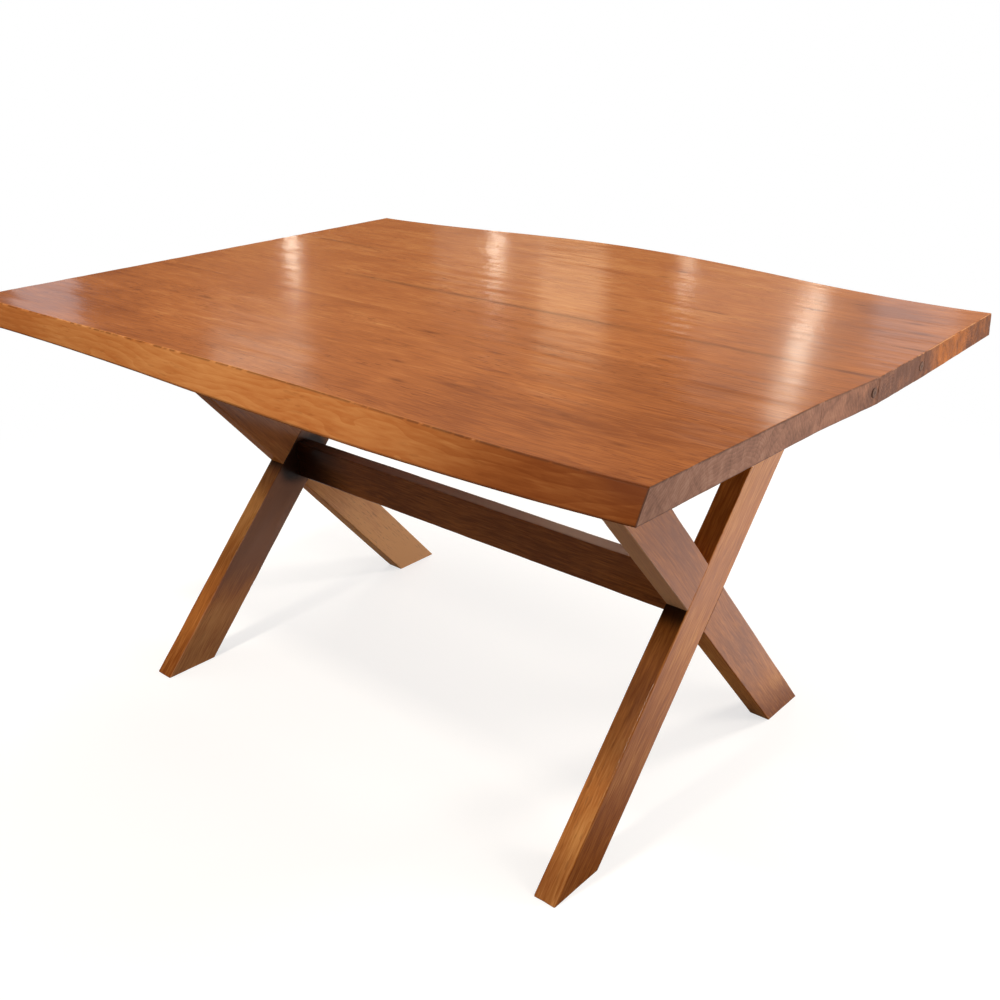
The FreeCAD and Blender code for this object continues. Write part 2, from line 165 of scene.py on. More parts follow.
# %% [markdown]
# ## Wear
#
# Hand planing leaves long shallow ripples, and years of use round the arrises unevenly and knock
# small chips out of them. A Displace modifier with a cloud texture could do that, but it knows nothing of
# the grain or of the arrises. Here both are sums of waves that are long along the grain and short across it.
# Their seeds are fixed, so every run gives the same board.


# %% Waves
def waves(along, p, q, long, short, seed, count=18):
    """A smooth random height of about unit size: a sum of cosines with random directions.

    Typical wavelengths are long along the board and short across it.
    """
    draw = np.random.default_rng(seed)
    total = np.zeros(np.broadcast(along, p, q).shape)
    for _ in range(count):
        a, b, c = draw.normal(size=3) / (long, short, short)
        total += np.cos(2 * math.pi * (a * along + b * p + c * q) + draw.uniform(0, 2 * math.pi))
    return total * math.sqrt(2 / count)


def smooth(value, low, high):
    """0 below low, 1 above high, and an eased step between."""
    share = np.clip((value - low) / (high - low), 0, 1)
    return share * share * (3 - 2 * share)


print("spread of the waves:", round(float(waves(np.linspace(0, 20, 2000), 0, 0, 1, 1, seed=1).std()), 2))

# %% Ripples and chips
# Typical sizes along the board and across it
RIPPLES = (500 * MM, 90 * MM)
SHORT_RIPPLES = (220 * MM, 26 * MM)
CHIPS = (28 * MM, 30 * MM)
ROUNDING = (160 * MM, 60 * MM)
CHIP_DEPTH = 0.8 * MM


def ripples(along, p, q, height, seed):
    """A planed face's unevenness: long ripples, and short ones with 0.3 times their height."""
    return (height * waves(along, p, q, *RIPPLES, seed)
            + 0.3 * height * waves(along, p, q, *SHORT_RIPPLES, seed + 1))


def arris_loss(along, p, q, radius, seed):
    """What use takes off an arris: chips at the peaks of one wave, and rounding that follows another."""
    nicks = smooth(waves(along, p, q, *CHIPS, seed + 2), 1.5, 2.6)
    uneven = 0.5 + 0.5 * waves(along, p, q, *ROUNDING, seed + 3)
    return CHIP_DEPTH * nicks + 0.25 * radius * np.clip(uneven, 0, 1.5)


trial = arris_loss(np.linspace(0, 1, 1000), 0, 0, 2 * MM, seed=1)
print("a worn arris of 2 mm loses", round(float(trial.max()) / MM, 2), "mm at most")

# %% Any board
SEAM_FADE = 30 * MM  # ripples fade out over this width beside a glued seam
SAW_MARKS = (100 * MM, 18 * MM)
SAW_DEPTH = 0.12 * MM


def board(place, length, half_p, half_q, arrises, seed, pith, end=None, step=6 * MM, ripple=0.25 * MM,
          extra=(), flush=()):
    """A board's points, and the values its finish reads, on a grid of stations and walk points.

    Each section is a middle rectangle plus a rounded arris: side * (half - shrink - radius) +
    facing * (radius + swell), where swell holds the ripples and the chips. The radius goes from
    the first to the second of arrises across p, and end is the radius round both ends. place(along, p, q)
    bends that straight board into its true outline. The pith is the log's middle, seen from the board's
    own middle line. Ripples fade towards the sides of p named in flush, -1 or 1.
    """
    end = end or max(arrises)
    side, facing = walk(flat_places(half_p - end, step * 0.8), flat_places(half_q - end, step * 0.8))
    along, shrink = stations(length, end, min(half_p, half_q), step, extra)
    along, shrink = along[:, None], shrink[:, None]
    radius = arrises[0] + (arrises[1] - arrises[0]) * (side[:, 0] + 1) / 2
    rough_p, rough_q = side[:, 0] * half_p, side[:, 1] * half_q
    swell = ripples(along, rough_p, rough_q, ripple, seed)
    for sign in flush:
        swell = swell * smooth(half_p - sign * rough_p, 0, SEAM_FADE)
    corner = 2 * np.abs(facing[:, 0] * facing[:, 1])
    swell -= corner * (radius / end) * arris_loss(along, rough_p, rough_q, radius, seed)
    keep = np.maximum(radius - shrink, 0)
    skin = np.where(shrink < end, keep + swell, 0)
    p = side[:, 0] * (half_p - shrink * radius / end - keep) + facing[:, 0] * skin
    q = side[:, 1] * (half_q - shrink - keep) + facing[:, 1] * skin
    on_end = np.clip(shrink / end, 0, 1)
    outward = np.where(along > length / 2, 1, -1) * on_end
    saw = SAW_DEPTH * waves(along * 0, p, q, *SAW_MARKS, seed + 4)
    run = along + outward * saw + 0 * p
    to_end = np.minimum(along, length - along)
    gaps = np.stack(np.broadcast_arrays(half_p - np.abs(p), half_q - np.abs(q), to_end))
    values = {
        "log": np.stack([run, p + pith[0], q + pith[1]], axis=-1),
        "arris": np.maximum(np.sort(gaps, axis=0)[1], 0),
        "end": on_end + 0 * p,
    }
    return place(run, p, q), values


trial = board(lambda along, p, q: np.stack([along, p, q], axis=-1), 1, 40 * MM, 20 * MM,
              arrises=(2 * MM, 2 * MM), seed=1, pith=(0, 0))
print("a metre of board is a grid of", trial[0].shape[:2], "points")


# %% From a grid to a Blender object
WELD = 0.01 * MM
SHARP = math.radians(40)


def solid(name, points, values):
    """A closed mesh from a grid of rings, with its values as attributes on the vertices."""
    rows, columns = points.shape[:2]
    index = np.arange(rows * columns).reshape(rows, columns)
    after = np.roll(index, -1, axis=1)
    quads = np.stack([index[:-1], after[:-1], after[1:], index[1:]], axis=-1).reshape(-1, 4)
    mesh = bpy.data.meshes.new(name)
    mesh.from_pydata(points.reshape(-1, 3), [], quads)
    for label, value in values.items():
        kind, field = ("FLOAT_VECTOR", "vector") if value.ndim == 3 else ("FLOAT", "value")
        attribute = mesh.attributes.new(label, kind, "POINT")
        attribute.data.foreach_set(field, np.ascontiguousarray(value, dtype=np.float32).ravel())
    work = bmesh.new()
    work.from_mesh(mesh)
    bmesh.ops.remove_doubles(work, verts=work.verts, dist=WELD)
    work.to_mesh(mesh)
    work.free()
    mesh.shade_smooth()
    mesh.set_sharp_from_angle(angle=SHARP)
    piece = bpy.data.objects.new(name, mesh)
    bpy.context.scene.collection.objects.link(piece)
    print(name, len(mesh.vertices), "vertices", len(mesh.polygons), "faces")
    return piece


# %% [markdown]
# ## The planks
#
# The two outer planks keep the natural edge of the tree on their long outer side, and the
# inner ones are straight. A flat outline with a Solidify modifier would give their shape, but no
# grid that follows the board. So a plank is a straight board that is then laid between its front and back
# edge lines. Both lines are read from the CAD plank, at its upper and its lower face. The natural
# edges also bulge a little between their two arrises.

# %% Edge lines of the planks
EDGE_SHARE = 0.3  # an edge's vertices lie within this share of the plank's width


def edge_line(node, height, outer):
    """X and Y along a plank's front (-1) or back (+1) edge at one height, from left to right."""
    points = at_height(node, height)
    low, high = points[:, 1].min(), points[:, 1].max()
    near = outer * points[:, 1] > outer * (high if outer > 0 else low) - EDGE_SHARE * (high - low)
    points = points[near]
    points = points[np.argsort(points[:, 0])]
    slots = np.unique(np.round(points[:, 0] / MM), return_index=True)[1]
    return points[slots, 0], points[slots, 1]


swing = np.ptp(edge_line("back_plank", TOP, 1)[1])
print("the natural back edge swings by", round(swing / MM), "mm")


# %% Lay a plank between its edge lines
def plank_place(node, length, half_width, bulge_front, bulge_back):
    """A function that lays a straight board between a plank's own edge lines.

    A point is the mix of the front and the back line at its share of the length, and each
    line is the mix of its lower and upper one at the point's height.
    """
    lines = {(outer, height): edge_line(node, height, outer)
             for outer in (-1, 1) for height in (UNDERSIDE, TOP)}

    def edge(outer, share, rise):
        spots = []
        for height in (UNDERSIDE, TOP):
            xs, ys = lines[outer, height]
            x = xs[0] + (xs[-1] - xs[0]) * share
            spots.append((x, np.interp(x, xs, ys)))
        (low_x, low_y), (high_x, high_y) = spots
        return low_x + (high_x - low_x) * rise, low_y + (high_y - low_y) * rise

    def place(along, p, q):
        share, rise = along / length, q / THICK + 0.5
        across = (p / half_width + 1) / 2
        front_x, front_y = edge(-1, share, rise)
        back_x, back_y = edge(1, share, rise)
        belly = 4 * np.clip(rise, 0, 1) * (1 - np.clip(rise, 0, 1))
        front_y = front_y - bulge_front * belly
        back_y = back_y + bulge_back * belly
        x = front_x + (back_x - front_x) * across
        y = front_y + (back_y - front_y) * across
        return np.stack([x, y, UNDERSIDE + THICK * rise], axis=-1)

    return place


# %% [markdown]
# ## Marks on the top
#
# An old top isn't one colour. Polish has blackened parts of the seams, each plank has its own shade,
# there are lighter and darker patches and small knots, and the end grain goes from grey at the front to
# orange at the back. Some of it is painted light: one patch is a painted pool of lamp light, the top
# darkens with painted shade towards its right end, the front edge has a painted shadow along its lower
# arris, and the end grain's grey is partly painted cool light and sheen. All that could be painted into a
# picture. As plain values at places on the table it stays sharp from near by, and it follows the boards if
# they change. The finish reads the values as attributes later.

# %% Seams
PLANK_ARRIS = 1.4 * MM
SEAM_REACH = 14 * MM  # how far from a seam the dark polish shows
FAR = 1  # a distance that no mark reaches, in metres
# A seam's arris radius, then places along X and how dark the joint is there
SEAMS = {
    "front": (0.1 * MM, (0, 1), (0, 0)),
    "middle": (0.1 * MM, (-0.33, -0.25, 0.23, 0.37, 0.45, 0.62, 0.66, 0.71, 0.735),
               (0.05, 0.4, 0.42, 0.15, 0.35, 0.45, 0.2, 0.2, 0.5)),
    "back": (0.12 * MM, (-0.7, -0.62, -0.49, -0.42, 0.64, 0.7, 0.735), (0, 0.4, 0.35, 0, 0, 0.4, 0.6)),
    "none": (PLANK_ARRIS, (0, 1), (0, 0)),
}


def nearest(distances, like):
    """The least of some distances, or far away where there are none."""
    return np.min([0 * like + FAR, *distances], axis=0)


def seam_marks(values, x, seamed):
    """Darkness along each seam, faded over its reach. seamed holds pairs of a distance and a seam.

    Where a face meets a seam there is no worn arris, so the distance to one becomes a large value.
    """
    dark = [np.interp(x, *SEAMS[seam][1:]) * (1 - smooth(gap, 0, SEAM_REACH)) for gap, seam in seamed]
    values["seam"] = np.max([0 * x, *dark], axis=0)
    beside = nearest([gap for gap, seam in seamed], x) < 3 * MM
    values["arris"] = np.where(beside, FAR, values["arris"])


print("seams:", [name for name in SEAMS if name != "none"])

# %% Shades, patches and knots
# How much lighter or darker than the others a plank is
SHADES = {"front_plank": -0.12, "middle_front_plank": -0.02, "middle_back_plank": 0.02, "back_plank": 0.02}
# Lighter and darker patches: X and Y of the middle, half length, half width, and how much lighter.
# The first is a painted pool of lamp light.
PATCHES = ((-0.15, -0.28, 0.3, 0.12, 0.16), (0.42, -0.5, 0.1, 0.05, -0.13), (0.62, 0.12, 0.12, 0.2, -0.14),
           (0.585, 0.36, 0.07, 0.06, -0.24), (-0.54, -0.49, 0.12, 0.1, -0.18),
           (0.4, -0.06, 0.15, 0.08, -0.08))
# Small knots: X and Y of the middle, half length along the grain, half width
KNOTS = ((0.162, 0.412, 0.016, 0.007), (0.493, 0.29, 0.02, 0.006), (0.688, 0.251, 0.022, 0.009),
         (0.657, 0.305, 0.018, 0.005), (0.70, -0.012, 0.03, 0.005), (0.25, 0.083, 0.02, 0.004),
         (0.112, -0.222, 0.018, 0.004), (0.254, -0.432, 0.016, 0.004), (-0.35, -0.3, 0.02, 0.004),
         (0.688, -0.535, 0.035, 0.006), (0.267, -0.247, 0.018, 0.003), (0.334, -0.203, 0.014, 0.003),
         (0.189, -0.368, 0.014, 0.003), (0.328, -0.398, 0.02, 0.003), (0.513, -0.441, 0.02, 0.003),
         (0.512, -0.403, 0.012, 0.003), (0.16, 0.351, 0.012, 0.004), (0.47, -0.122, 0.012, 0.003),
         (0.624, -0.446, 0.012, 0.003), (0.534, 0.371, 0.02, 0.004), (0.372, 0.169, 0.03, 0.003))
# End grain at places across the table: how warm it is, from grey at 0 to orange at 1, and how much lighter
END_PLACES = (-0.5, -0.36, -0.25, -0.13, -0.03, 0.12, 0.18, 0.22, 0.32, 0.35, 0.46)
END_WARMTH = (0, 0, 0.03, 0.1, 0.2, 0.4, 0.7, 1, 1, 0.95, 0.95)
END_LIGHT = (0, 0, -0.06, -0.1, -0.2, -0.36, -0.25, -0.1, -0.1, -0.25, -0.25)


def face_marks(values, node, x, y, z):
    """Shade, partly painted light, warmth and knots. A patch or a knot falls off as exp(-(dx / a)^2 - (dy /
    b)^2).
    """
    # Darker towards the right end of the top: painted shade
    on_face = SHADES[node] - 0.1 * smooth(x, 0.4, 0.65)
    for middle_x, middle_y, a, b, lighter in PATCHES:
        on_face = on_face + lighter * np.exp(-((x - middle_x) / a) ** 2 - ((y - middle_y) / b) ** 2)
    on_end = values["end"]
    values["shade"] = on_face * (1 - on_end) + np.interp(y, END_PLACES, END_LIGHT) * on_end
    values["stain"] = np.interp(y, END_PLACES, END_WARMTH)
    far = [((x - knot_x) / a) ** 2 + ((y - knot_y) / b) ** 2 for knot_x, knot_y, a, b in KNOTS]
    values["knot"] = np.exp(-np.min(far, axis=0)) * (z > TOP - THICK / 2)


print(len(PATCHES), "patches and", len(KNOTS), "knots")

# %% The natural edge
# The front edge at places along X: how much lighter it is than the face above it
EDGE_PLACES = (-0.7, -0.2, 0, 0.18, 0.47, 0.58, 0.66, 0.71)
EDGE_LIGHT = (0.25, 0.23, 0.27, 0.18, 0.22, 0.16, 0.22, 0.14)


def edge_marks(values, node, x, y, z, natural):
    """The front edge is lighter, dark with age to the right, dark with a painted shadow along its lower
    arris, and dirty along its upper arris and at its corner.

    natural is the distance from the plank's natural edge. The back of the right end is bare from rubbing.
    """
    values["edge"] = 1 - smooth(natural, 2.6 * MM, 3.4 * MM)
    front = values["edge"] * (node == "front_plank")
    values["shade"] += front * np.interp(x, EDGE_PLACES, EDGE_LIGHT)
    values["aged"] = 0.9 * front * smooth(x, 0.3, 0.6)
    # A painted shadow along the lower arris of the front edge, given as dirt
    lower = 1 - smooth(z, UNDERSIDE + 2 * MM, UNDERSIDE + 5 * MM)
    upper = smooth(z, TOP - 4 * MM, TOP - 1 * MM) * smooth(x, -0.15, 0.05)
    corner = smooth(x, 0.715, 0.725)
    bare = (smooth(y, -0.05, 0.15) - 0.5) * smooth(x, 0.66, 0.7)
    values["rubbed_and_shaded"] = bare - front * (lower + 0.4 * upper + 1.2 * corner)
    values["arris"] = values["arris"] * (1 - 0.55 * front * np.maximum(lower, corner))


print("the front edge is up to", max(EDGE_LIGHT), "lighter than the top")

# %% The four planks
PLANKS = {
    # node: bulge of the front and back edge, seam in front and behind, pith across and up, seed
    "front_plank": ((0.8 * MM, 0), ("none", "front"), (0.02, 0.11), 11),
    "middle_front_plank": ((0, 0), ("front", "middle"), (-0.10, -0.05), 23),
    "middle_back_plank": ((0, 0), ("middle", "back"), (0.06, -0.09), 37),
    "back_plank": ((0, 0.8 * MM), ("back", "none"), (-0.05, 0.09), 53),
}


def plank(node, bulges, seams, pith, seed):
    """One plank of the top, with the marks that its finish reads."""
    low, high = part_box(node)
    length, half_width = high.x - low.x, (high.y - low.y) / 2
    place = plank_place(node, length, half_width, *bulges)
    flush = [sign for sign, seam in zip((-1, 1), seams) if seam != "none"]
    arrises = [SEAMS[seam][0] for seam in seams]
    points, values = board(place, length, half_width, THICK / 2, arrises, seed, pith, end=PLANK_ARRIS,
                           ripple=0.1 * MM, flush=flush)
    x, y, z = np.moveaxis(points, -1, 0)
    p = values["log"][..., 1] - pith[0]
    edges = list(zip((half_width + p, half_width - p), seams))
    seam_marks(values, x, [(gap, seam) for gap, seam in edges if seam != "none"])
    face_marks(values, node, x, y, z)
    edge_marks(values, node, x, y, z, nearest([gap for gap, seam in edges if seam == "none"], x))
    values["log"][..., 0] += seed
    return solid(f"{node}_board", points, values)


planks = {node: plank(node, *facts) for node, facts in PLANKS.items()}

# %% [markdown]
# ## The legs
#
# Each X is two boards, halved into each other where they cross, so that their faces stay flush.
# A Boolean could cut the laps, but it would leave loose slivers beside them.
# A leg's cuts are level at the foot and the head but follow the other leg at the lap. The stations
# therefore turn as they go along the leg: each one joins a point of the leg's one edge to
# a point of its other edge, and those points run evenly between the foot, the lap and the head.

# %% Read a leg's lines
LEG_ARRIS = 1.8 * MM
STEP_WALL = 0.05 * MM  # half the run of the lap's shoulder, which is as good as upright


def level_span(node, height):
    """The lowest and highest Y of a node at one height."""
    points = at_height(node, height)
    return points[:, 1].min(), points[:, 1].max()


def leg_lines(node):
    """Where a leg lies: its foot and head as spans of Y, its middle, and how far both edges have risen.

    Each edge rises from the foot by way of two corners of the lap to the head. The keys, the means of both
    edges' rises, are the shares of the length at which the stations pass those corners.
    """
    low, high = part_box(node)
    height = high.z
    foot, head = level_span(node, 0), level_span(node, height)
    middle = (foot[0] + foot[1] + head[0] + head[1]) / 4
    reach = [(middle - foot[i]) / (head[i] - foot[i]) for i in (0, 1)]
    rises = [np.array([0, *sorted((0.5, share)), 1]) for share in reach]
    length = math.hypot(height, head[0] - foot[0])
    return SimpleNamespace(
        foot=foot, head=head, middle=middle, height=height, length=length, rises=rises,
        keys=(rises[0] + rises[1]) / 2, centre_x=(low.x + high.x) / 2, half_p=(high.x - low.x) / 2,
        half_q=(foot[1] - foot[0]) / 2 * height / length)


print("a leg is", round(leg_lines("right_outer_leg").length / MM), "mm long")


# %% Lay a leg between its two edges
def leg_place(lines, lapped):
    """A function that lays a straight board between a leg's two edges.

    At a share of the length, each edge has risen by the interpolation of its own rises. Half the
    thickness is gone at the lap, on the side of X that lapped names, -1 or 1.
    """
    foot, head, height, keys = lines.foot, lines.head, lines.height, lines.keys

    def place(along, p, q):
        share = along / lines.length
        edges = []
        for i in (0, 1):
            rise = np.interp(share, keys, lines.rises[i])
            edges.append((foot[i] + (head[i] - foot[i]) * rise, height * rise))
        across = (q / lines.half_q + 1) / 2
        y = edges[0][0] + (edges[1][0] - edges[0][0]) * across
        z = edges[0][1] + (edges[1][1] - edges[0][1]) * across
        in_lap = (share > keys[1]) & (share < keys[2])
        x = lines.centre_x + np.where(in_lap & (p * lapped > 0), 0, p)
        return np.stack([x, y, np.clip(z, 0, height)], axis=-1)

    return place


def leg_board(node, outward, lapped, seed, pith):
    """One leg of an X: its points, its values, and where each point is on the leg."""
    lines = leg_lines(node)
    half_p, half_q = lines.half_p, lines.half_q
    shoulders = [lines.keys[i] * lines.length + offset for i in (1, 2) for offset in (-STEP_WALL, STEP_WALL)]
    points, values = board(leg_place(lines, lapped), lines.length, half_p, half_q, (LEG_ARRIS, LEG_ARRIS),
                           seed, pith, step=5 * MM, ripple=0.12 * MM, extra=shoulders)
    x, y, z = np.moveaxis(points, -1, 0)
    across, q = outward * (x - lines.centre_x), values["log"][..., 2] - pith[1]
    above = z - lines.height / 2
    at = SimpleNamespace(
        y=y, z=z, above=above, crossing=np.hypot(y - lines.middle, above),
        outside=smooth(across, half_p - 2 * MM, half_p - 0.5 * MM),
        inside=smooth(-across, half_p - 2 * MM, half_p - 0.5 * MM),
        down=smooth(-q, half_q - 2.6 * MM, half_q - 1.8 * MM))
    return points, values, at


# %% [markdown]
# ## Marks on the legs
#
# Shoes scuff the feet, and scuffs with painted shade darken the outer faces towards the front. Much of the
# rest is painted light: faces are lighter or darker by how light falls on them or how the top shades them,
# painted shadow darkens the corners where the legs cross and meet the stretcher, and a pale colour stands for
# dust and a painted sheen. The narrow faces that look down had one thin coat and are dull. One noise for all
# legs would be quicker, but wear and light have causes, so each leg gets its own few values along its height
# or its depth.


# %% Tints and painted light of the right legs
def right_outer_tints_and_light(at):
    """Painted shade towards the head, painted light above the crossing outside, and painted shadow inside the
    crossing.
    """
    within = np.interp(at.z, (0, 0.08, 0.14, 0.2, 0.26, 0.32, 0.42),
                       (0.12, 0.15, 0, -0.02, -0.22, -0.12, -0.22))
    shade = within * (1 - at.outside) + 0.12 * smooth(at.z, 0.4, 0.5) * at.outside
    below = 1 - smooth(at.above, 10 * MM, 35 * MM)
    grime = 0.95 * (1 - smooth(at.crossing, 62 * MM, 92 * MM)) * (1 - at.outside) * below
    return {"shade": shade, "grime": grime}


def right_inner_tints_and_light(at):
    """Painted light inside, painted shadow of the other leg outside by the crossing. The face that looks down
    is dull, with a dusty colour and painted sheen above.
    """
    outside = np.interp(at.y, (-0.25, -0.1, 0.12, 0.25), (0, -0.28, -0.2, 0))
    return {"shade": 0.18 + (outside - 0.18) * at.outside, "edge": at.down,
            "dust": 0.45 * at.down * smooth(at.z, 0.3, 0.38)}


# %% Tints and painted light of the left legs
def left_outer_tints_and_light(at):
    """Painted light towards the foot. Inside less scuffed, with a dusty colour and painted sheen. The face
    that looks down is dull.
    """
    return {"shade": np.interp(at.z, (0, 0.15, 0.35, 0.55), (0.55, 0.35, 0.1, -0.2)),
            "aged": at.aged * (1 - 0.8 * at.inside), "edge": at.down, "dust": 0.15 * at.inside}


def left_inner_tints_and_light(at):
    """Painted light and shade inside with a dusty colour and painted sheen, painted light in front by the
    crossing, and painted shadow by the stretcher's end.
    """
    around = np.interp(at.z, (0.05, 0.14, 0.2, 0.27, 0.37), (-0.07, -0.2, 0, 0.3, 0.15))
    inside = np.interp(at.z, (0, 0.1, 0.18, 0.4), (0.25, 0.12, -0.45, -0.3))
    beside = smooth(at.z, 300 * MM, 330 * MM) * (1 - smooth(at.z, 395 * MM, 425 * MM))
    return {"shade": around + at.inside * (inside - around),
            "dust": at.inside * np.interp(at.z, (0, 0.12, 0.25), (0.1, 0.12, 0.25)),
            "grime": 0.95 * (1 - smooth(at.crossing, 50 * MM, 80 * MM)) * (1 - at.outside) * beside}


# %% The four legs
LEGS = {
    # node: the way of X out from the table, the side of X that the lap is cut from, tints and painted light
    "right_outer_leg": (1, -1, right_outer_tints_and_light),
    "right_inner_leg": (1, 1, right_inner_tints_and_light),
    "left_outer_leg": (-1, 1, left_outer_tints_and_light),
    "left_inner_leg": (-1, -1, left_inner_tints_and_light),
}


def leg(number, node, outward, lapped, tints_and_light):
    """One leg, sawn from its own place in the log, with the marks that its finish reads."""
    seed = 101 + 7 * number
    pith = (0.05 - 0.02 * number, 0.09 + 0.015 * number)
    points, values, at = leg_board(node, outward, lapped, seed, pith)
    scuffed = 0.75 * (1 - smooth(at.z, 15 * MM, 110 * MM))
    # Scuffs and painted shade: the outer faces darker towards the front
    kicked_and_shaded = (0.85 if "outer" in node else 0.65) * (1 - smooth(at.y, -0.42, 0.1)) * at.outside
    at.aged = np.maximum(scuffed, kicked_and_shaded)
    values.update({label: 0 * at.z for label in ("shade", "edge", "dust", "grime")}, aged=at.aged)
    values.update(tints_and_light(at))
    values["arris"] = values["arris"] * 2  # dirt stays closer to the arris than on the top
    values["log"][..., 0] += seed
    return solid(f"{node}_board", points, values)


legs = {node: leg(number, node, *facts) for number, (node, facts) in enumerate(LEGS.items())}

# %% [markdown]
# ## The stretcher and the cleats
#
# Both are straight boards, so the board function lays them without any bending. The stretcher runs along X
# between the inner faces of the X frames; its tenons are out of sight and stay with the CAD model.
# The cleats run along Y under the planks and rise at their ends, so that no knee meets a
# square corner: there the lower face follows the bevel, which the CAD node's vertices give.


# %% A straight board
def straight_board(name, low, high, axis, seed, pith, arris, marks=None, lower=None):
    """A board along X (axis 0) or Y (axis 1). lower(y) may raise the lower face of a board along Y.

    marks(points) may give more values for the finish.
    """
    low, high = np.array(low), np.array(high)
    middle, half = (low + high) / 2, (high - low) / 2
    first, second = (1, 2) if axis == 0 else (2, 0)

    def place(along, p, q):
        spot = [None] * 3
        spot[axis] = low[axis] + along
        spot[first] = middle[first] + p
        spot[second] = middle[second] + q
        if lower is not None:
            floor_z = lower(spot[axis])
            spot[2] = floor_z + (high[2] - floor_z) * (spot[2] - low[2]) / (high[2] - low[2])
        return np.stack(spot, axis=-1)

    points, values = board(place, 2 * half[axis], half[first], half[second], (arris, arris), seed, pith,
                           step=5 * MM)
    values["log"][..., 0] += seed
    if marks is not None:
        values.update(marks(points))
    return solid(name, points, values)


# %% The stretcher
rail_low, rail_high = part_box("stretcher")
rail_from, rail_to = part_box("left_inner_leg")[1].x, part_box("right_inner_leg")[0].x
print("the stretcher shows", round((rail_to - rail_from) / MM), "mm between the frames")


def stretcher_marks(points):
    """The stretcher is dark, black with painted shadow at its left joint, with a dusty colour and painted
    sheen on its upper face.
    """
    x, _, z = np.moveaxis(points, -1, 0)
    upper = smooth(z, rail_high.z - 1.5 * MM, rail_high.z - 0.3 * MM)
    return {"shade": -0.22 + 0 * x,
            "grime": 0.95 * (1 - smooth(x, rail_from + 50 * MM, rail_from + 200 * MM)),
            "dust": upper * (0.35 + 0.65 * smooth(x, -0.25, 0.3))}


stretcher = straight_board("stretcher_board", (rail_from, rail_low.y, rail_low.z),
                           (rail_to, rail_high.y, rail_high.z), 0, 211, (0.07, 0.05), 2 * MM, stretcher_marks)


# %% The cleats
def cleat(side, seed):
    """A cleat under the planks, with its bevelled ends."""
    node = f"{side}_cleat"
    low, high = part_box(node)
    points = vertices(node)
    nose = points[points[:, 1] < low.y + TOUCH, 2].min()
    level = at_height(node, low.z)[:, 1]
    turns = [low.y, level.min(), level.max(), high.y]
    heights = [nose, low.z, low.z, nose]
    return straight_board(f"{node}_board", low, high, 1, seed, (0.08, 0.03), 2 * MM,
                          lower=lambda y: np.interp(y, turns, heights))


cleats = {f"{side}_cleat": cleat(side, seed) for side, seed in (("right", 307), ("left", 331))}

# %% [markdown]
# ## Turned and hexagonal pieces
#
# Bolts, washers, nuts, screws and pins are profiles carried round an axis. The Screw modifier turns a profile
# too, but only to a round shape. Here a hexagon is the same thing with a radius that depends on the angle,
# cut back by a cone at its corners, which is just how a real nut is chamfered. The bolt's thread is a ridge
# whose height depends on the place along the axis and the angle together, and that makes a helix.

# %% Carry a profile round an axis
AROUND = 48


def turned(profile, origin, axis, radius_at=None):
    """Points of a shape turned about an axis: radius and height along the profile, all round.

    radius_at(radius, height, angle) may change the radius, as a hexagon or a thread does.
    """
    profile = np.asarray(profile, dtype=float)
    angle = np.linspace(0, 2 * math.pi, AROUND, endpoint=False)
    radius, height = np.broadcast_arrays(profile[:, :1], angle[None, :])[0], profile[:, 1:]
    if radius_at is not None:
        radius = radius_at(radius, height, angle)
    turn = np.array(Vector((0, 0, 1)).rotation_difference(Vector(axis)).to_matrix())
    local = np.stack([radius * np.cos(angle), radius * np.sin(angle), height + 0 * radius], axis=-1)
    return np.asarray(origin) + local @ turn.T, local


def hexagon(across_flats):
    """A radius rule: the flats of a hexagon, wherever the profile is wider than they are."""
    def rule(radius, height, angle):
        flats = across_flats / 2 / np.cos((angle + math.pi / 6) % (math.pi / 3) - math.pi / 6)
        return np.minimum(radius, flats)
    return rule


# %% Group and seat turned shapes
def group(name, shapes):
    """One object from several turned shapes."""
    made = []
    for points, local in shapes:
        made.append(solid(f"{name}_{len(made)}", points, {"log": local, "arris": local[..., 0] * 0 + 1}))
    with bpy.context.temp_override(active_object=made[0], selected_editable_objects=made):
        bpy.ops.object.join()
    made[0].name = name
    return made[0]


def seat(low, high, inward):
    """The middle of a piece's outer face, for a piece that was made inwards from there."""
    return (high[0] if inward < 0 else low[0], (low[1] + high[1]) / 2, (low[2] + high[2]) / 2)


# %% Bolts with domed heads
SIDES = (("right", -1), ("left", 1))  # each X frame, and the way of X that leads inwards from its outside
BOLT_RADIUS = 5 * MM
THREAD_LENGTH = 16 * MM
THREAD_PITCH = 1.5 * MM
THREAD_DEPTH = 0.7 * MM
FACETS_PER_TURN = 6


def bolt_shape(low, high, inward, head_height):
    """A carriage bolt: an elliptical dome on the leg, a shank, and a thread on its free end.

    The thread's depth is a triangle wave of height / pitch - angle / (2 pi).
    """
    head = (high[1] - low[1]) / 2
    length = (high[0] - low[0]) - head_height
    bow = np.linspace(0, math.pi / 2, 10)
    dome = np.stack([head * np.sin(bow), -head_height * np.cos(bow)], axis=-1)
    start = length - THREAD_LENGTH
    thread = np.arange(start, length - 1 * MM, THREAD_PITCH / FACETS_PER_TURN)
    shaft = np.concatenate([[0, start - 0.5 * MM], thread])
    profile = np.concatenate([dome, np.stack([0 * shaft + BOLT_RADIUS, shaft], axis=-1),
                              [[BOLT_RADIUS - THREAD_DEPTH, length], [0, length]]])

    def ridge(radius, height, angle):
        place = (height / THREAD_PITCH - angle / (2 * math.pi)) % 1
        depth = THREAD_DEPTH * np.abs(2 * place - 1)
        threaded = (height > start - 0.2 * MM) & (height < length - 0.5 * MM)
        return np.where(threaded, radius - depth, radius)

    outer_x, y, z = seat(low, high, inward)
    return turned(profile, (outer_x + inward * head_height, y, z), (inward, 0, 0), ridge)


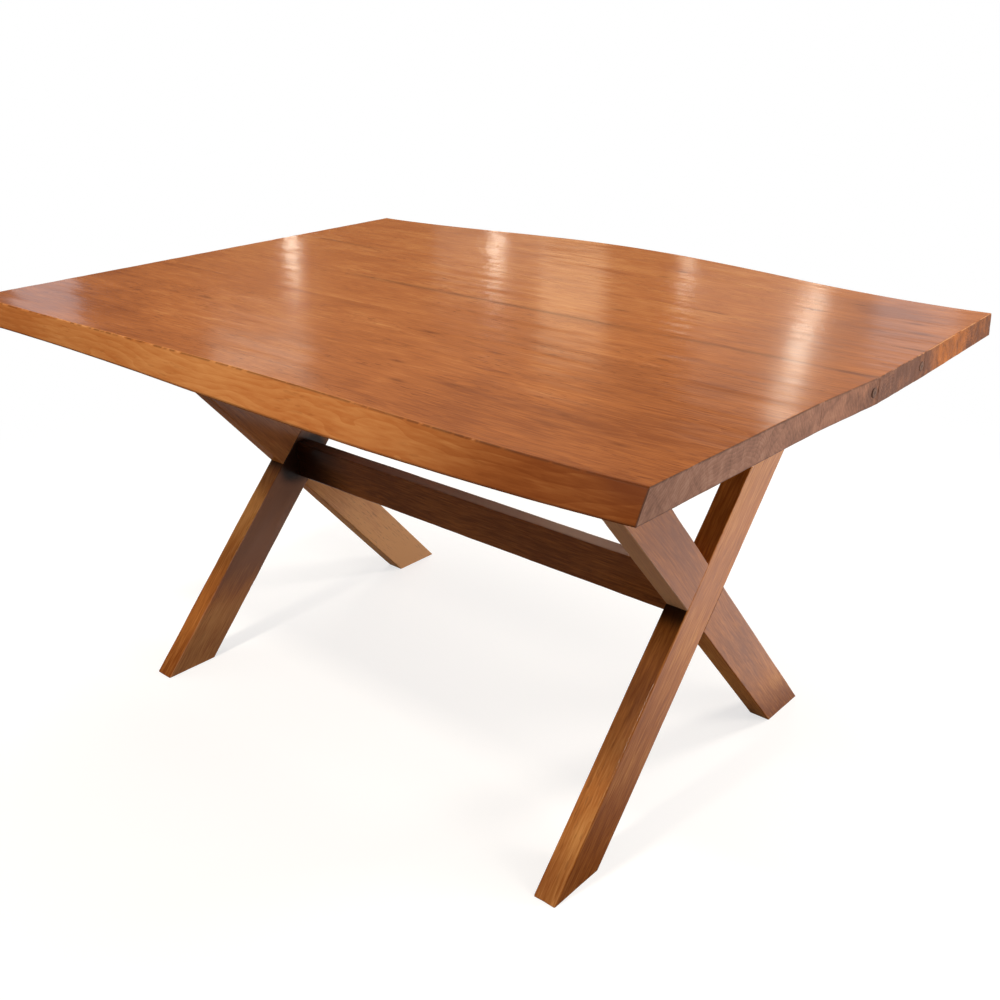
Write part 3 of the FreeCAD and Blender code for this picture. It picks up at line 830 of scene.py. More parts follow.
hardware = {}
for side, inward in SIDES:
    node = f"{side}_leg_bolts"
    boxes = pieces_of(node)
    leg_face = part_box(f"{side}_outer_leg")[1 if inward < 0 else 0].x
    head_height = abs(seat(*boxes[0], inward)[0] - leg_face)
    hardware[node] = group(f"{node}_turned", [bolt_shape(*box, inward, head_height) for box in boxes])

# %% Washers and nuts
BORE = 5.1 * MM
WASHER_EASE = 0.4 * MM
CHAMFER = 0.5  # slope of the cone at a hexagon's corners


def hexagon_corner(across_flats):
    """A hexagon's corner radius, and how far its cone drops from the face to there."""
    corner = across_flats / 2 / math.cos(math.pi / 6)
    return corner, (corner - across_flats / 2) * CHAMFER


def washer_shape(low, high, inward):
    """A ring with eased rims. Its profile ends where it starts, so the ring closes."""
    radius, height, ease = (high[1] - low[1]) / 2, high[0] - low[0], WASHER_EASE
    profile = [(BORE, 0), (radius - ease, 0), (radius, ease), (radius, height - ease),
               (radius - ease, height), (BORE, height), (BORE, 0)]
    return turned(profile, seat(low, high, inward), (inward, 0, 0))


def nut_shape(low, high, inward):
    """A hexagon nut: wide enough for the corners, with a cone at both faces."""
    flats, height = min(high[1] - low[1], high[2] - low[2]), high[0] - low[0]
    corner, drop = hexagon_corner(flats)
    profile = [(BORE, 0), (flats / 2, 0), (corner, drop), (corner, height - drop), (flats / 2, height),
               (BORE, height), (BORE, 0)]
    return turned(profile, seat(low, high, inward), (inward, 0, 0), hexagon(flats))


# %% Coach screws, and all the hardware
SCREW_RADIUS = 3 * MM


def screw_shape(low, high, head):
    """A coach screw, head down: a hexagon with a cone at its free face, and a shank up into the planks."""
    flats, height = min(high[0] - low[0], high[1] - low[1]), high[2] - low[2]
    corner, drop = hexagon_corner(flats)
    profile = [(0, 0), (flats / 2, 0), (corner, drop), (corner, head), (SCREW_RADIUS, head),
               (SCREW_RADIUS, height), (0, height)]
    origin = ((low[0] + high[0]) / 2, (low[1] + high[1]) / 2, low[2])
    return turned(profile, origin, (0, 0, 1), hexagon(flats))


for side, inward in SIDES:
    for kind, shape in (("washers", washer_shape), ("nuts", nut_shape)):
        node = f"{side}_leg_{kind}"
        hardware[node] = group(f"{node}_turned", [shape(*box, inward) for box in pieces_of(node)])
    node = f"{side}_cleat_screws"
    cleat_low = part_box(f"{side}_cleat")[0].z
    shapes = [screw_shape(low, high, cleat_low - low[2]) for low, high in pieces_of(node)]
    hardware[node] = group(f"{node}_turned", shapes)

# %% [markdown]
# ## The end pins
#
# Two round pins show in the end grain, close to the back seams. They stand a hair proud of the
# plank, with an eased rim, and the joint round each has filled with dark polish over the years.
# A cylinder with a bevel comes close, but a turned profile also gives the face its slight dome.

# %% Turn the pins
PIN_PROUD = 0.8 * MM
PIN_EASE = 1.2 * MM
PIN_DOME = 0.15 * MM


def pin_shape(low, high):
    """A pin along X: a face that falls by the square of the radius, a quarter round, and a straight side."""
    radius, length = (high[1] - low[1]) / 2, high[0] - low[0]
    flat = radius - PIN_EASE
    face = np.linspace(0, 1, 7)
    bow = np.linspace(0, math.pi / 2, 6)[1:]
    dome = np.stack([flat * face, PIN_DOME * face**2], axis=-1)
    ease = np.stack([flat + PIN_EASE * np.sin(bow), PIN_DOME + PIN_EASE * (1 - np.cos(bow))], axis=-1)
    profile = np.concatenate([dome, ease, [[radius, length], [0, length]]])
    origin = (high[0] + PIN_PROUD, (low[1] + high[1]) / 2, (low[2] + high[2]) / 2)
    return turned(profile, origin, (-1, 0, 0))


pins = group("end_pins_turned", [pin_shape(*box) for box in pieces_of("end_pins")])

# %% [markdown]
# ## Finishes
#
# Wood is coloured inside, not on its skin, so its finish is worked out in the log: each board carries
# the place of every point in the tree that it was sawn from, as an attribute. Growth rings are
# circles about the log's pith. The long faces cut them into streaks and the ends cut
# them into arcs, without any extra work.
#
# Colours are written as sRGB hex values, as a paint chart gives them, and turned to linear once.


# %% Colours
def linear(code):
    """An sRGB hex colour as linear RGBA: ((c + 0.055) / 1.055) ** 2.4, or c / 12.92 near black."""
    parts = [int(code[i:i + 2], 16) / 255 for i in (1, 3, 5)]
    return [c / 12.92 if c < 0.04045 else ((c + 0.055) / 1.055) ** 2.4 for c in parts] + [1]


print("the grey #808080 is", round(linear("#808080")[0], 3), "in linear light")


# %% Nodes
def add(tree, kind, inputs=(), stops=(), **settings):
    """Adds a node with its settings, its values and links by socket, and a ramp's colour stops."""
    node = tree.nodes.new(kind)
    for setting, value in settings.items():
        setattr(node, setting, value)
    for socket, value in dict(inputs).items():
        if isinstance(value, bpy.types.NodeSocket):
            tree.links.new(value, node.inputs[socket])
        else:
            node.inputs[socket].default_value = value
    for index, (spot, code) in enumerate(stops):
        ramp = node.color_ramp.elements
        stop = ramp[index] if index < 2 else ramp.new(spot)
        stop.position, stop.color = spot, linear(code)
    return node


def new_material(name, **inputs):
    """A material that ends in a Principled shader, with the shader's constant inputs."""
    material = bpy.data.materials.new(name)
    material.use_nodes = True
    tree = material.node_tree
    tree.nodes.clear()
    constants = {socket.replace("_", " "): value for socket, value in inputs.items()}
    shader = add(tree, "ShaderNodeBsdfPrincipled", constants)
    add(tree, "ShaderNodeOutputMaterial", {"Surface": shader.outputs[0]})
    return material, tree, shader


def fibres(tree, log, long, short, detail=3):
    """Noise drawn out along the grain: long and short are its typical sizes in millimetres."""
    size = (1000 / long, 1000 / short, 1000 / short)
    spot = add(tree, "ShaderNodeMapping", {"Vector": log, "Scale": size}, vector_type="POINT")
    inputs = {"Vector": spot.outputs[0], "Scale": 1, "Detail": detail, "Distortion": 0.3}
    noise = add(tree, "ShaderNodeTexNoise", inputs)
    return noise.outputs["Fac"]


# %% [markdown]
# ## Grain
#
# The boards are old pine. Pine has soft rings some millimetres wide, long streaks, and short dark
# dashes where resin has gathered. The log isn't a true cylinder, so its rings wander by some millimetres.
# A picture of wood would look real from one side only. Here the rings are cut wherever a saw would cut them.


# %% The log and its rings
def grown_log(tree, ring):
    """The place in the log, the same place with the rings' wander, and the rings themselves.

    The wander is a soft noise less its mean, up to some 20 mm across the log. A wave texture of rings
    has a spacing of 2 pi / (20 * scale).
    """
    log = add(tree, "ShaderNodeAttribute", attribute_name="log").outputs["Vector"]
    spot = add(tree, "ShaderNodeMapping", {"Vector": log, "Scale": (3, 14, 14)})
    drift = add(tree, "ShaderNodeTexNoise", {"Vector": spot.outputs[0], "Scale": 1, "Detail": 3})
    drift = add(tree, "ShaderNodeVectorMath", {0: drift.outputs["Color"], 1: (0.5, 0.5, 0.5)},
                operation="SUBTRACT")
    drift = add(tree, "ShaderNodeVectorMath", {0: drift.outputs[0], 1: (0, 0.045, 0.045)},
                operation="MULTIPLY")
    grown = add(tree, "ShaderNodeVectorMath", {0: log, 1: drift.outputs[0]}, operation="ADD").outputs[0]
    rings = add(tree, "ShaderNodeTexWave", {"Vector": grown, "Scale": 2 * math.pi / (20 * ring * MM)},
                wave_type="RINGS", rings_direction="X", wave_profile="SAW").outputs["Fac"]
    return log, grown, rings


# %% Streaks and clouds
def streaked(tree, log, grown, rings, contrast):
    """A tone of about 0.5: rings, plus each pattern's share of its distance from its own mean."""
    shade = add(tree, "ShaderNodeAttribute", attribute_name="shade").outputs["Fac"]
    tone = add(tree, "ShaderNodeMath", {0: rings, 1: 0.1, 2: 0.45}, operation="MULTIPLY_ADD").outputs[0]
    tone = add(tree, "ShaderNodeMath", {0: tone, 1: shade}, operation="ADD").outputs[0]
    patterns = ((fibres(tree, grown, 300, 24), 0.25), (fibres(tree, grown, 70, 5, 4), 0.5),
                (fibres(tree, log, 32, 2.4, 2), 0.45), (fibres(tree, log, 170, 90, 2), 0.45))
    for pattern, share in patterns:
        share *= contrast
        tone = add(tree, "ShaderNodeMath", {0: tone, 1: 0.5 * share}, operation="SUBTRACT").outputs[0]
        tone = add(tree, "ShaderNodeMath", {0: pattern, 1: share, 2: tone},
                   operation="MULTIPLY_ADD").outputs[0]
    return tone


# %% Resin and knots
def resin(tree, log, most):
    """How much resin shows: dashes some 20 mm long in loose patches, and the knots that were marked."""
    dash = fibres(tree, log, 22, 2.8, 1)
    patch = fibres(tree, log, 240, 60, 1)
    dash = add(tree, "ShaderNodeMapRange", {0: dash, 1: 0.61, 2: 0.7, 3: 0, 4: most}).outputs[0]
    patch = add(tree, "ShaderNodeMapRange", {0: patch, 1: 0.4, 2: 0.6}).outputs[0]
    dash = add(tree, "ShaderNodeMath", {0: dash, 1: patch}, operation="MULTIPLY").outputs[0]
    knot = add(tree, "ShaderNodeAttribute", attribute_name="knot").outputs["Fac"]
    return add(tree, "ShaderNodeMath", {0: knot, 1: 0.75, 2: dash}, operation="MULTIPLY_ADD",
               use_clamp=True).outputs[0]


# %% [markdown]
# ## Use
#
# Dirt and old polish gather beside the arrises and in the seams. Where hands and cloths have rubbed the
# varnish through, the wood is bare and lighter. Along the lower arris of the front edge the dirt is a painted
# shadow. A Bevel node could find the arrises, but it is slow and doesn't know the seams. Every board already
# carries the distance from its nearest arris as an attribute.

# %% Dirt and rubbed arrises
DIRT = "#4A2610"
BARE_PINE = "#D6A170"


def used(tree, log, colour):
    """The colour with dirt and bare wood along the arrises. One noise decides which of both it is."""
    arris = add(tree, "ShaderNodeAttribute", attribute_name="arris").outputs["Fac"]
    seam = add(tree, "ShaderNodeAttribute", attribute_name="seam").outputs["Fac"]
    # Above zero the wood is bare; below zero there is more dirt, which along the front edge's lower arris is
    # a painted shadow
    rubbed_and_shaded = add(tree, "ShaderNodeAttribute", attribute_name="rubbed_and_shaded").outputs["Fac"]
    rub = fibres(tree, log, 16, 30)
    rub = add(tree, "ShaderNodeMath", {0: rubbed_and_shaded, 1: 0.3, 2: rub}, operation="MULTIPLY_ADD").outputs[0]
    near = add(tree, "ShaderNodeMapRange", {0: arris, 1: 2.2 * MM, 2: 0.3 * MM, 3: 0, 4: 1}).outputs[0]
    dirt = add(tree, "ShaderNodeMapRange", {0: rub, 1: 0.54, 2: 0.42, 3: 0, 4: 0.75}).outputs[0]
    dirt = add(tree, "ShaderNodeMath", {0: dirt, 1: near}, operation="MULTIPLY").outputs[0]
    wear = fibres(tree, log, 60, 30)
    wear = add(tree, "ShaderNodeMapRange", {0: wear, 1: 0.35, 2: 0.5, 3: 0.4, 4: 1}).outputs[0]
    seam = add(tree, "ShaderNodeMath", {0: seam, 1: wear}, operation="MULTIPLY").outputs[0]
    dirt = add(tree, "ShaderNodeMath", {0: dirt, 1: seam}, operation="MAXIMUM").outputs[0]
    colour = add(tree, "ShaderNodeMix", {0: dirt, 6: colour, 7: linear(DIRT)}, data_type="RGBA").outputs[2]
    bare = add(tree, "ShaderNodeMapRange", {0: rub, 1: 0.56, 2: 0.64, 3: 0, 4: 0.5}).outputs[0]
    edge = add(tree, "ShaderNodeMapRange", {0: arris, 1: 1.4 * MM, 2: 0.3 * MM, 3: 0, 4: 1}).outputs[0]
    bare = add(tree, "ShaderNodeMath", {0: bare, 1: edge}, operation="MULTIPLY").outputs[0]
    return add(tree, "ShaderNodeMix", {0: bare, 6: colour, 7: linear(BARE_PINE)}, data_type="RGBA").outputs[2]


# %% [markdown]
# ## Varnished pine
#
# The long faces have an amber varnish with a satin shine. It was brushed on and rubbed down, so it is a
# thin coat over the wood: the coat gives the eye the soft lamp reflections, and the planed and raised
# grain under it breaks them up. One mixed roughness could stand for both, but then the reflections
# are either too sharp or lost. The natural edges, and the legs' narrow faces that look down,
# have hardly any coat left and look dull. They are the same pine with a thinner coat.

# %% A varnished face
# Deep brown for age, scuffs and painted shade
AGED_AND_SHADED = "#6E3000"
# A pale colour for dust and painted sheen
DUST_AND_SHEEN = "#CAAA98"
# Near black for painted shadow in corners and at joints
PAINTED_SHADOW = "#1C0903"
GRAIN_RELIEF = 0.095 * MM


def varnished_pine(name, tones, knot, ring, contrast, dashes, rough, coat, coat_rough):
    """Pine under varnish. The tones go from deep to light, knot is the resin's, and dashes its strength.

    The ring spacing is in millimetres. Relief is the sum of flecks and of half the longer ripples.
    """
    material, tree, shader = new_material(name, IOR=1.12, Coat_Weight=coat, Coat_Roughness=coat_rough)
    log, grown, rings = grown_log(tree, ring)
    tone = streaked(tree, log, grown, rings, contrast)
    colour = add(tree, "ShaderNodeValToRGB", {0: tone}, zip((0.15, 0.5, 0.85), tones)).outputs[0]
    dark = resin(tree, log, dashes)
    colour = add(tree, "ShaderNodeMix", {0: dark, 6: colour, 7: linear(knot)}, data_type="RGBA").outputs[2]

    # Where shoes and hands have been, and where the legs get painted shade, the varnish is deep brown, most
    # of all in the dark streaks
    aged = add(tree, "ShaderNodeAttribute", attribute_name="aged").outputs["Fac"]
    deep = add(tree, "ShaderNodeMapRange", {0: tone, 1: 0.75, 2: 0.35, 3: 0.4, 4: 0.95}).outputs[0]
    deep = add(tree, "ShaderNodeMath", {0: deep, 1: aged}, operation="MULTIPLY").outputs[0]
    colour = add(tree, "ShaderNodeMix", {0: deep, 6: colour, 7: linear(AGED_AND_SHADED)}, data_type="RGBA").outputs[2]
    colour = used(tree, log, colour)
    # Pale dust with painted sheen, then painted shadow, mixed in by their attributes
    for mark, code in (("dust", DUST_AND_SHEEN), ("grime", PAINTED_SHADOW)):
        share = add(tree, "ShaderNodeAttribute", attribute_name=mark).outputs["Fac"]
        mixed = {0: share, 6: colour, 7: linear(code)}
        colour = add(tree, "ShaderNodeMix", mixed, data_type="RGBA").outputs[2]

    fleck = fibres(tree, log, 20, 5, 2)
    ripple = fibres(tree, log, 75, 11, 2)
    height = add(tree, "ShaderNodeMath", {0: ripple, 1: 0.5, 2: fleck}, operation="MULTIPLY_ADD").outputs[0]
    bump = add(tree, "ShaderNodeBump", {"Strength": 1, "Distance": GRAIN_RELIEF, "Height": height}).outputs[0]
    uneven = add(tree, "ShaderNodeMath", {0: tone, 1: 0.15, 2: rough - 0.08},
                 operation="MULTIPLY_ADD").outputs[0]
    for socket, value in (("Base Color", colour), ("Roughness", uneven), ("Normal", bump)):
        tree.links.new(value, shader.inputs[socket])
    print(name, len(tree.nodes), "nodes")
    return material


# %% Four kinds of varnished pine
TOP_WOOD = {"tones": ("#84471F", "#A86330", "#C4884F"), "knot": "#643010", "ring": 5.5}
FRAME_WOOD = {"tones": ("#894B1B", "#B66E30", "#D79652"), "knot": "#5A2A0C", "ring": 4.5,
              "contrast": 1.05, "dashes": 0.35}
THIN_COAT = {"coat": 0.05, "coat_rough": 0.3}
top_pine = varnished_pine("varnished_pine_top", **TOP_WOOD, contrast=1, dashes=0.65, rough=0.42,
                          coat=0.5, coat_rough=0.155)
edge_pine = varnished_pine("varnished_pine_natural_edge", **TOP_WOOD, contrast=0.52, dashes=0.2, rough=0.6,
                           **THIN_COAT)
frame_pine = varnished_pine("varnished_pine_frame", **FRAME_WOOD, rough=0.45, coat=0.6, coat_rough=0.2)
thin_pine = varnished_pine("thinly_varnished_pine_frame", **FRAME_WOOD, rough=0.65, **THIN_COAT)

# %% [markdown]
# ## End grain
#
# Sawn end grain drinks its varnish. It has gone dull and grey-brown, or orange where the stain has stayed,
# with blotches and fine checks that run out from the pith. The grey is partly painted cool light and sheen.
# It gives the eye no reflections. A darker tint of the faces' finish would still shine, so it is a material
# of its own without a coat.

# %% End grain
# The grey tones stand partly for painted cool light and sheen
GREY_AND_SHEEN_TONES = ("#5E4034", "#936A58", "#B68E7A")
WARM_TONES = ("#5C3012", "#A05C24", "#C88040")
TONE_STOPS = (0.125, 0.425, 0.725)
CHECKS = 16  # checks per radian about the pith
END_RELIEF = 0.3 * MM


def end_grain(name, ring):
    """Dull end grain: faint rings, blotches and checks, grey or orange by the stain at each place. The grey
    is partly painted cool light and sheen.
    """
    material, tree, shader = new_material(name, Roughness=0.65, IOR=1.3)
    log, grown, rings = grown_log(tree, ring)
    across = add(tree, "ShaderNodeSeparateXYZ", {0: grown}).outputs
    angle = add(tree, "ShaderNodeMath", {0: across[2], 1: across[1]}, operation="ARCTAN2").outputs[0]
    ray = add(tree, "ShaderNodeMath", {0: angle, 1: CHECKS}, operation="MULTIPLY").outputs[0]
    check = add(tree, "ShaderNodeTexNoise", {"W": ray, "Scale": 1, "Detail": 4},
                noise_dimensions="1D").outputs["Fac"]
    check = add(tree, "ShaderNodeMapRange", {0: check, 1: 0.42, 2: 0.3, 3: 0, 4: 1}).outputs[0]
    shade = add(tree, "ShaderNodeAttribute", attribute_name="shade").outputs["Fac"]
    tone = add(tree, "ShaderNodeMath", {0: rings, 1: 0.1, 2: shade}, operation="MULTIPLY_ADD").outputs[0]
    blotches, grit = fibres(tree, log, 30, 22, 4), fibres(tree, log, 30, 4, 2)
    for pattern, share in ((blotches, 0.55), (grit, 0.22), (check, -0.07)):
        tone = add(tree, "ShaderNodeMath", {0: pattern, 1: share, 2: tone},
                   operation="MULTIPLY_ADD").outputs[0]
    grey = add(tree, "ShaderNodeValToRGB", {0: tone}, zip(TONE_STOPS, GREY_AND_SHEEN_TONES)).outputs[0]
    warm = add(tree, "ShaderNodeValToRGB", {0: tone}, zip(TONE_STOPS, WARM_TONES)).outputs[0]
    stain = add(tree, "ShaderNodeAttribute", attribute_name="stain").outputs["Fac"]
    colour = add(tree, "ShaderNodeMix", {0: stain, 6: grey, 7: warm}, data_type="RGBA").outputs[2]
    bump = add(tree, "ShaderNodeBump", {"Strength": 1, "Distance": END_RELIEF, "Height": tone}).outputs[0]
    tree.links.new(used(tree, log, colour), shader.inputs["Base Color"])
    tree.links.new(bump, shader.inputs["Normal"])
    print(name, len(tree.nodes), "nodes")
    return material


top_end = end_grain("pine_end_grain_top", TOP_WOOD["ring"])
frame_end = end_grain("pine_end_grain_frame", FRAME_WOOD["ring"])

# %% [markdown]
# ## Pins, bare pine and steel
#
# The pins are hardwood end grain all the way, with a dark heart. The tongues in the seams are planed pine
# without varnish. The fasteners are zinc-plated steel gone dull and dark under a table. One plain colour
# each would do at a distance, but a little noise at the true size keeps them real from near by.

# %% Pin wood
PIN_RADIUS = 9  # mm, over which the tone rises from the heart to the rim


def pin_wood():
    """Sawn hardwood end grain, dull: the eye sees a dark core and rim about the pin's own middle."""
    material, tree, shader = new_material("hardwood_pin_end_grain", Roughness=0.7, IOR=1.3)
    log = add(tree, "ShaderNodeAttribute", attribute_name="log").outputs["Vector"]
    flat = add(tree, "ShaderNodeVectorMath", {0: log, 1: (1, 1, 0)}, operation="MULTIPLY").outputs[0]
    radius = add(tree, "ShaderNodeVectorMath", {0: flat}, operation="LENGTH").outputs["Value"]
    grit = add(tree, "ShaderNodeTexNoise", {"Vector": log, "Scale": 420, "Detail": 3}).outputs["Fac"]
    tone = add(tree, "ShaderNodeMath", {0: radius, 1: 1000 / PIN_RADIUS, 2: -0.2},
               operation="MULTIPLY_ADD").outputs[0]
    tone = add(tree, "ShaderNodeMath", {0: grit, 1: 0.5, 2: tone}, operation="MULTIPLY_ADD").outputs[0]
    stops = ((0.1, "#3A281F"), (0.45, "#6A4E42"), (0.8, "#563A2E"), (1, "#24140C"))
    colour = add(tree, "ShaderNodeValToRGB", {0: tone}, stops).outputs[0]
    bump = add(tree, "ShaderNodeBump", {"Strength": 1, "Distance": END_RELIEF, "Height": grit}).outputs[0]
    tree.links.new(colour, shader.inputs["Base Color"])
    tree.links.new(bump, shader.inputs["Normal"])
    print(material.name, len(tree.nodes), "nodes")
    return material


# %% Bare pine and dull steel
def bare_pine():
    """Planed pine without varnish: pale and matt to the eye, with fine streaks along X."""
    material, tree, shader = new_material("planed_pine", Roughness=0.7)
    spot = add(tree, "ShaderNodeTexCoord").outputs["Object"]
    streak = fibres(tree, spot, 200, 4)
    colour = add(tree, "ShaderNodeValToRGB", {0: streak}, ((0.3, "#B98A58"), (0.7, "#DDB581"))).outputs[0]
    tree.links.new(colour, shader.inputs["Base Color"])
    print(material.name, len(tree.nodes), "nodes")
    return material


def dull_steel():
    """Zinc-plated steel: grey metal with soft reflections, clouded with dark oxide over some 6 mm."""
    material, tree, shader = new_material("dull_zinc_steel", Metallic=1)
    spot = add(tree, "ShaderNodeTexCoord").outputs["Object"]
    cloud = add(tree, "ShaderNodeTexNoise", {"Vector": spot, "Scale": 1000 / 6, "Detail": 4}).outputs["Fac"]
    colour = add(tree, "ShaderNodeValToRGB", {0: cloud}, ((0.3, "#4A4846"), (0.7, "#8B8985"))).outputs[0]
    rough = add(tree, "ShaderNodeMapRange", {0: cloud, 1: 0.3, 2: 0.7, 3: 0.6, 4: 0.38}).outputs[0]
    tree.links.new(colour, shader.inputs["Base Color"])
    tree.links.new(rough, shader.inputs["Roughness"])
    print(material.name, len(tree.nodes), "nodes")
    return material


# %% [markdown]
# ## Dress the frame
#
# Every new piece takes its finish, rides on the table's one body and stands for the CAD node that it was
# laid on. Faces could be picked for a finish by hand, but the boards already say where
# their ends and their dull edges are. The tongues are hidden in the seams, so the CAD solids stay and
# only get their finish.


# %% Finish and ride
def marked(mesh, label, least):
    """For each face, whether the mean of its corners' values under this label is over the least."""
    value = np.empty(len(mesh.vertices), dtype=np.float32)
    mesh.attributes[label].data.foreach_get("value", value)
    corners, starts = np.empty(len(mesh.loops), dtype=int), np.empty(len(mesh.polygons), dtype=int)
    mesh.loops.foreach_get("vertex_index", corners)
    mesh.polygons.foreach_get("loop_start", starts)
    counts = np.diff(np.append(starts, len(corners)))
    return np.add.reduceat(value[corners], starts) / counts > least


def dress(piece, node, face, end=None, edge=None):
    """Gives a piece its materials, for faces, ends and dull edges, sets it on the root body and hides the CAD
    node that it stands for.
    """
    mesh = piece.data
    mesh.materials.clear()
    mesh.materials.append(face)
    index = np.zeros(len(mesh.polygons), dtype=np.int32)
    for material, label, least in ((edge, "edge", 0.6), (end, "end", 0.05)):
        if material is not None:
            index[marked(mesh, label, least)] = len(mesh.materials)
            mesh.materials.append(material)
    mesh.polygons.foreach_set("material_index", index)
    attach(piece, "root")
    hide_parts(node)
    print(piece.name, "for", node, "with", [material.name for material in mesh.materials])


# %% Dress every piece
for node, piece in planks.items():
    natural = node in ("front_plank", "back_plank")
    dress(piece, node, top_pine, top_end, edge_pine if natural else None)
for node, piece in legs.items():
    dress(piece, node, frame_pine, frame_end, thin_pine)
for node, piece in {**cleats, "stretcher": stretcher}.items():
    dress(piece, node, frame_pine, frame_end)
steel = dull_steel()
for node, piece in hardware.items():
    dress(piece, node, steel)
dress(pins, "end_pins", pin_wood())
tongue_pine = bare_pine()
for seam in ("front", "middle", "back"):
    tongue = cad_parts[f"{seam}_seam_tongue"]
    tongue.data.materials.clear()
    tongue.data.materials.append(tongue_pine)

# %% [markdown]
# ## Studio
#
# The camera stands where the photograph was taken from. The floor is plain and pale: close to the table it
# shows the soft shadow, and further off it turns into the white of the background. A white sheet under
# strong light would do that too, but it would flood the table with light from below.

# %% Camera
CAMERA_PLACE = (1.3023, -1.434, 1.1958)
AZIMUTH, ELEVATION, ROLL = (math.radians(angle) for angle in (40.903, 22.857, -0.15))
scene = bpy.context.scene
camera = bpy.data.objects.new("camera", bpy.data.cameras.new("camera"))
scene.collection.objects.link(camera)
camera.data.lens = 40.783
camera.data.sensor_width = 36
turn = Matrix.Rotation(AZIMUTH, 4, "Z") @ Matrix.Rotation(math.pi / 2 - ELEVATION, 4, "X")
camera.matrix_world = Matrix.Translation(CAMERA_PLACE) @ turn @ Matrix.Rotation(ROLL, 4, "Z")
camera.data.clip_start = 0.05
scene.camera = camera
print("camera at", CAMERA_PLACE, "with a lens of", round(camera.data.lens, 1), "mm")


# %% What the floor shows
def seen_floor(tree, spot):
    """What the camera sees: pale and shaded near the table, white further off."""
    away = add(tree, "ShaderNodeVectorMath", {0: spot}, operation="LENGTH").outputs["Value"]
    fade = add(tree, "ShaderNodeMapRange", {0: away, 1: 0.9, 2: 2.2},
               interpolation_type="SMOOTHSTEP").outputs[0]
    matt = add(tree, "ShaderNodeBsdfDiffuse", {"Color": linear("#A8A6A4")}).outputs[0]
    lift = add(tree, "ShaderNodeEmission", {"Color": (1, 1, 1, 1), "Strength": 0.68}).outputs[0]
    lit = add(tree, "ShaderNodeAddShader", {0: matt, 1: lift}).outputs[0]
    white = add(tree, "ShaderNodeEmission", {"Color": (1, 1, 1, 1), "Strength": 1}).outputs[0]
    return add(tree, "ShaderNodeMixShader", {0: fade, 1: lit, 2: white}).outputs[0]


def mirrored_floor(tree, spot):
    """What the varnish mirrors: a floor that glows for reflections only, bright behind the table, dim in
    front and by the right frame.
    """
    place = add(tree, "ShaderNodeSeparateXYZ", {0: spot}).outputs
    back = add(tree, "ShaderNodeMapRange", {0: place[1], 1: -0.3, 2: 0.6, 3: 0.14, 4: 1.5}).outputs[0]
    left = add(tree, "ShaderNodeMapRange", {0: place[0], 1: -0.9, 2: -1.05, 3: 0, 4: 0.14}).outputs[0]
    beside = add(tree, "ShaderNodeMath", {0: place[0], 1: 0.27}, operation="SUBTRACT").outputs[0]
    beside = add(tree, "ShaderNodeMath", {0: beside}, operation="ABSOLUTE").outputs[0]
    beside = add(tree, "ShaderNodeMapRange", {0: beside, 1: 0.22, 2: 0.34, 3: 0.2, 4: 1}).outputs[0]
    back = add(tree, "ShaderNodeMath", {0: back, 1: beside}, operation="MULTIPLY").outputs[0]
    glow = add(tree, "ShaderNodeMath", {0: back, 1: left}, operation="MAXIMUM").outputs[0]
    return add(tree, "ShaderNodeEmission", {"Color": (1, 1, 1, 1), "Strength": glow}).outputs[0]


# %% Floor
FLOOR_HALF = 30  # metres


def pale_floor():
    """A pale matt floor that fades to the background's white. It is clear when seen from below."""
    material, tree, shader = new_material("pale_floor")
    spot = add(tree, "ShaderNodeTexCoord").outputs["Object"]
    ray = add(tree, "ShaderNodeLightPath").outputs
    # Bouncing rays see a dimmer floor, so less light bounces up onto the table
    bounce_floor = add(tree, "ShaderNodeBsdfDiffuse", {"Color": linear("#928C84")}).outputs[0]
    whole = add(tree, "ShaderNodeMixShader", {0: ray["Is Glossy Ray"], 1: bounce_floor,
                                              2: mirrored_floor(tree, spot)}).outputs[0]
    seen = add(tree, "ShaderNodeMath", {0: ray["Is Camera Ray"], 1: ray["Is Transmission Ray"]},
               operation="MAXIMUM").outputs[0]
    whole = add(tree, "ShaderNodeMixShader", {0: seen, 1: whole, 2: seen_floor(tree, spot)}).outputs[0]
    below = add(tree, "ShaderNodeNewGeometry").outputs["Backfacing"]
    clear = add(tree, "ShaderNodeBsdfTransparent").outputs[0]
    whole = add(tree, "ShaderNodeMixShader", {0: below, 1: whole, 2: clear}).outputs[0]
    tree.nodes.remove(shader)
    output = [node for node in tree.nodes if node.type == "OUTPUT_MATERIAL"][0]
    tree.links.new(whole, output.inputs["Surface"])
    return material


corners = FLOOR_HALF * np.array([(-1, -1, 0), (1, -1, 0), (1, 1, 0), (-1, 1, 0)], dtype=float)
floor_mesh = bpy.data.meshes.new("floor")
floor_mesh.from_pydata(corners, [], [(0, 1, 2, 3)])
floor = bpy.data.objects.new("floor", floor_mesh)
floor.data.materials.append(pale_floor())
scene.collection.objects.link(floor)
print("floor", 2 * FLOOR_HALF, "m wide")

# %% [markdown]
# ## Light
#
# A few broad lamps light the table. The small ones only show as reflections in the varnish, so each is
# aimed at the spot of the top that mirrors it. A picture of a room could light it all at once, but then no
# reflection could be moved by itself. The sky fills the shadows, brighter from above, and varnish sees
# it dim.

# %% Lamps
WARM, BULB, AMBER, DAYLIGHT, SOFT = "#FFF6E8", "#FFF1DC", "#FFE0B8", "#E4ECF6", "#FFF8EE"
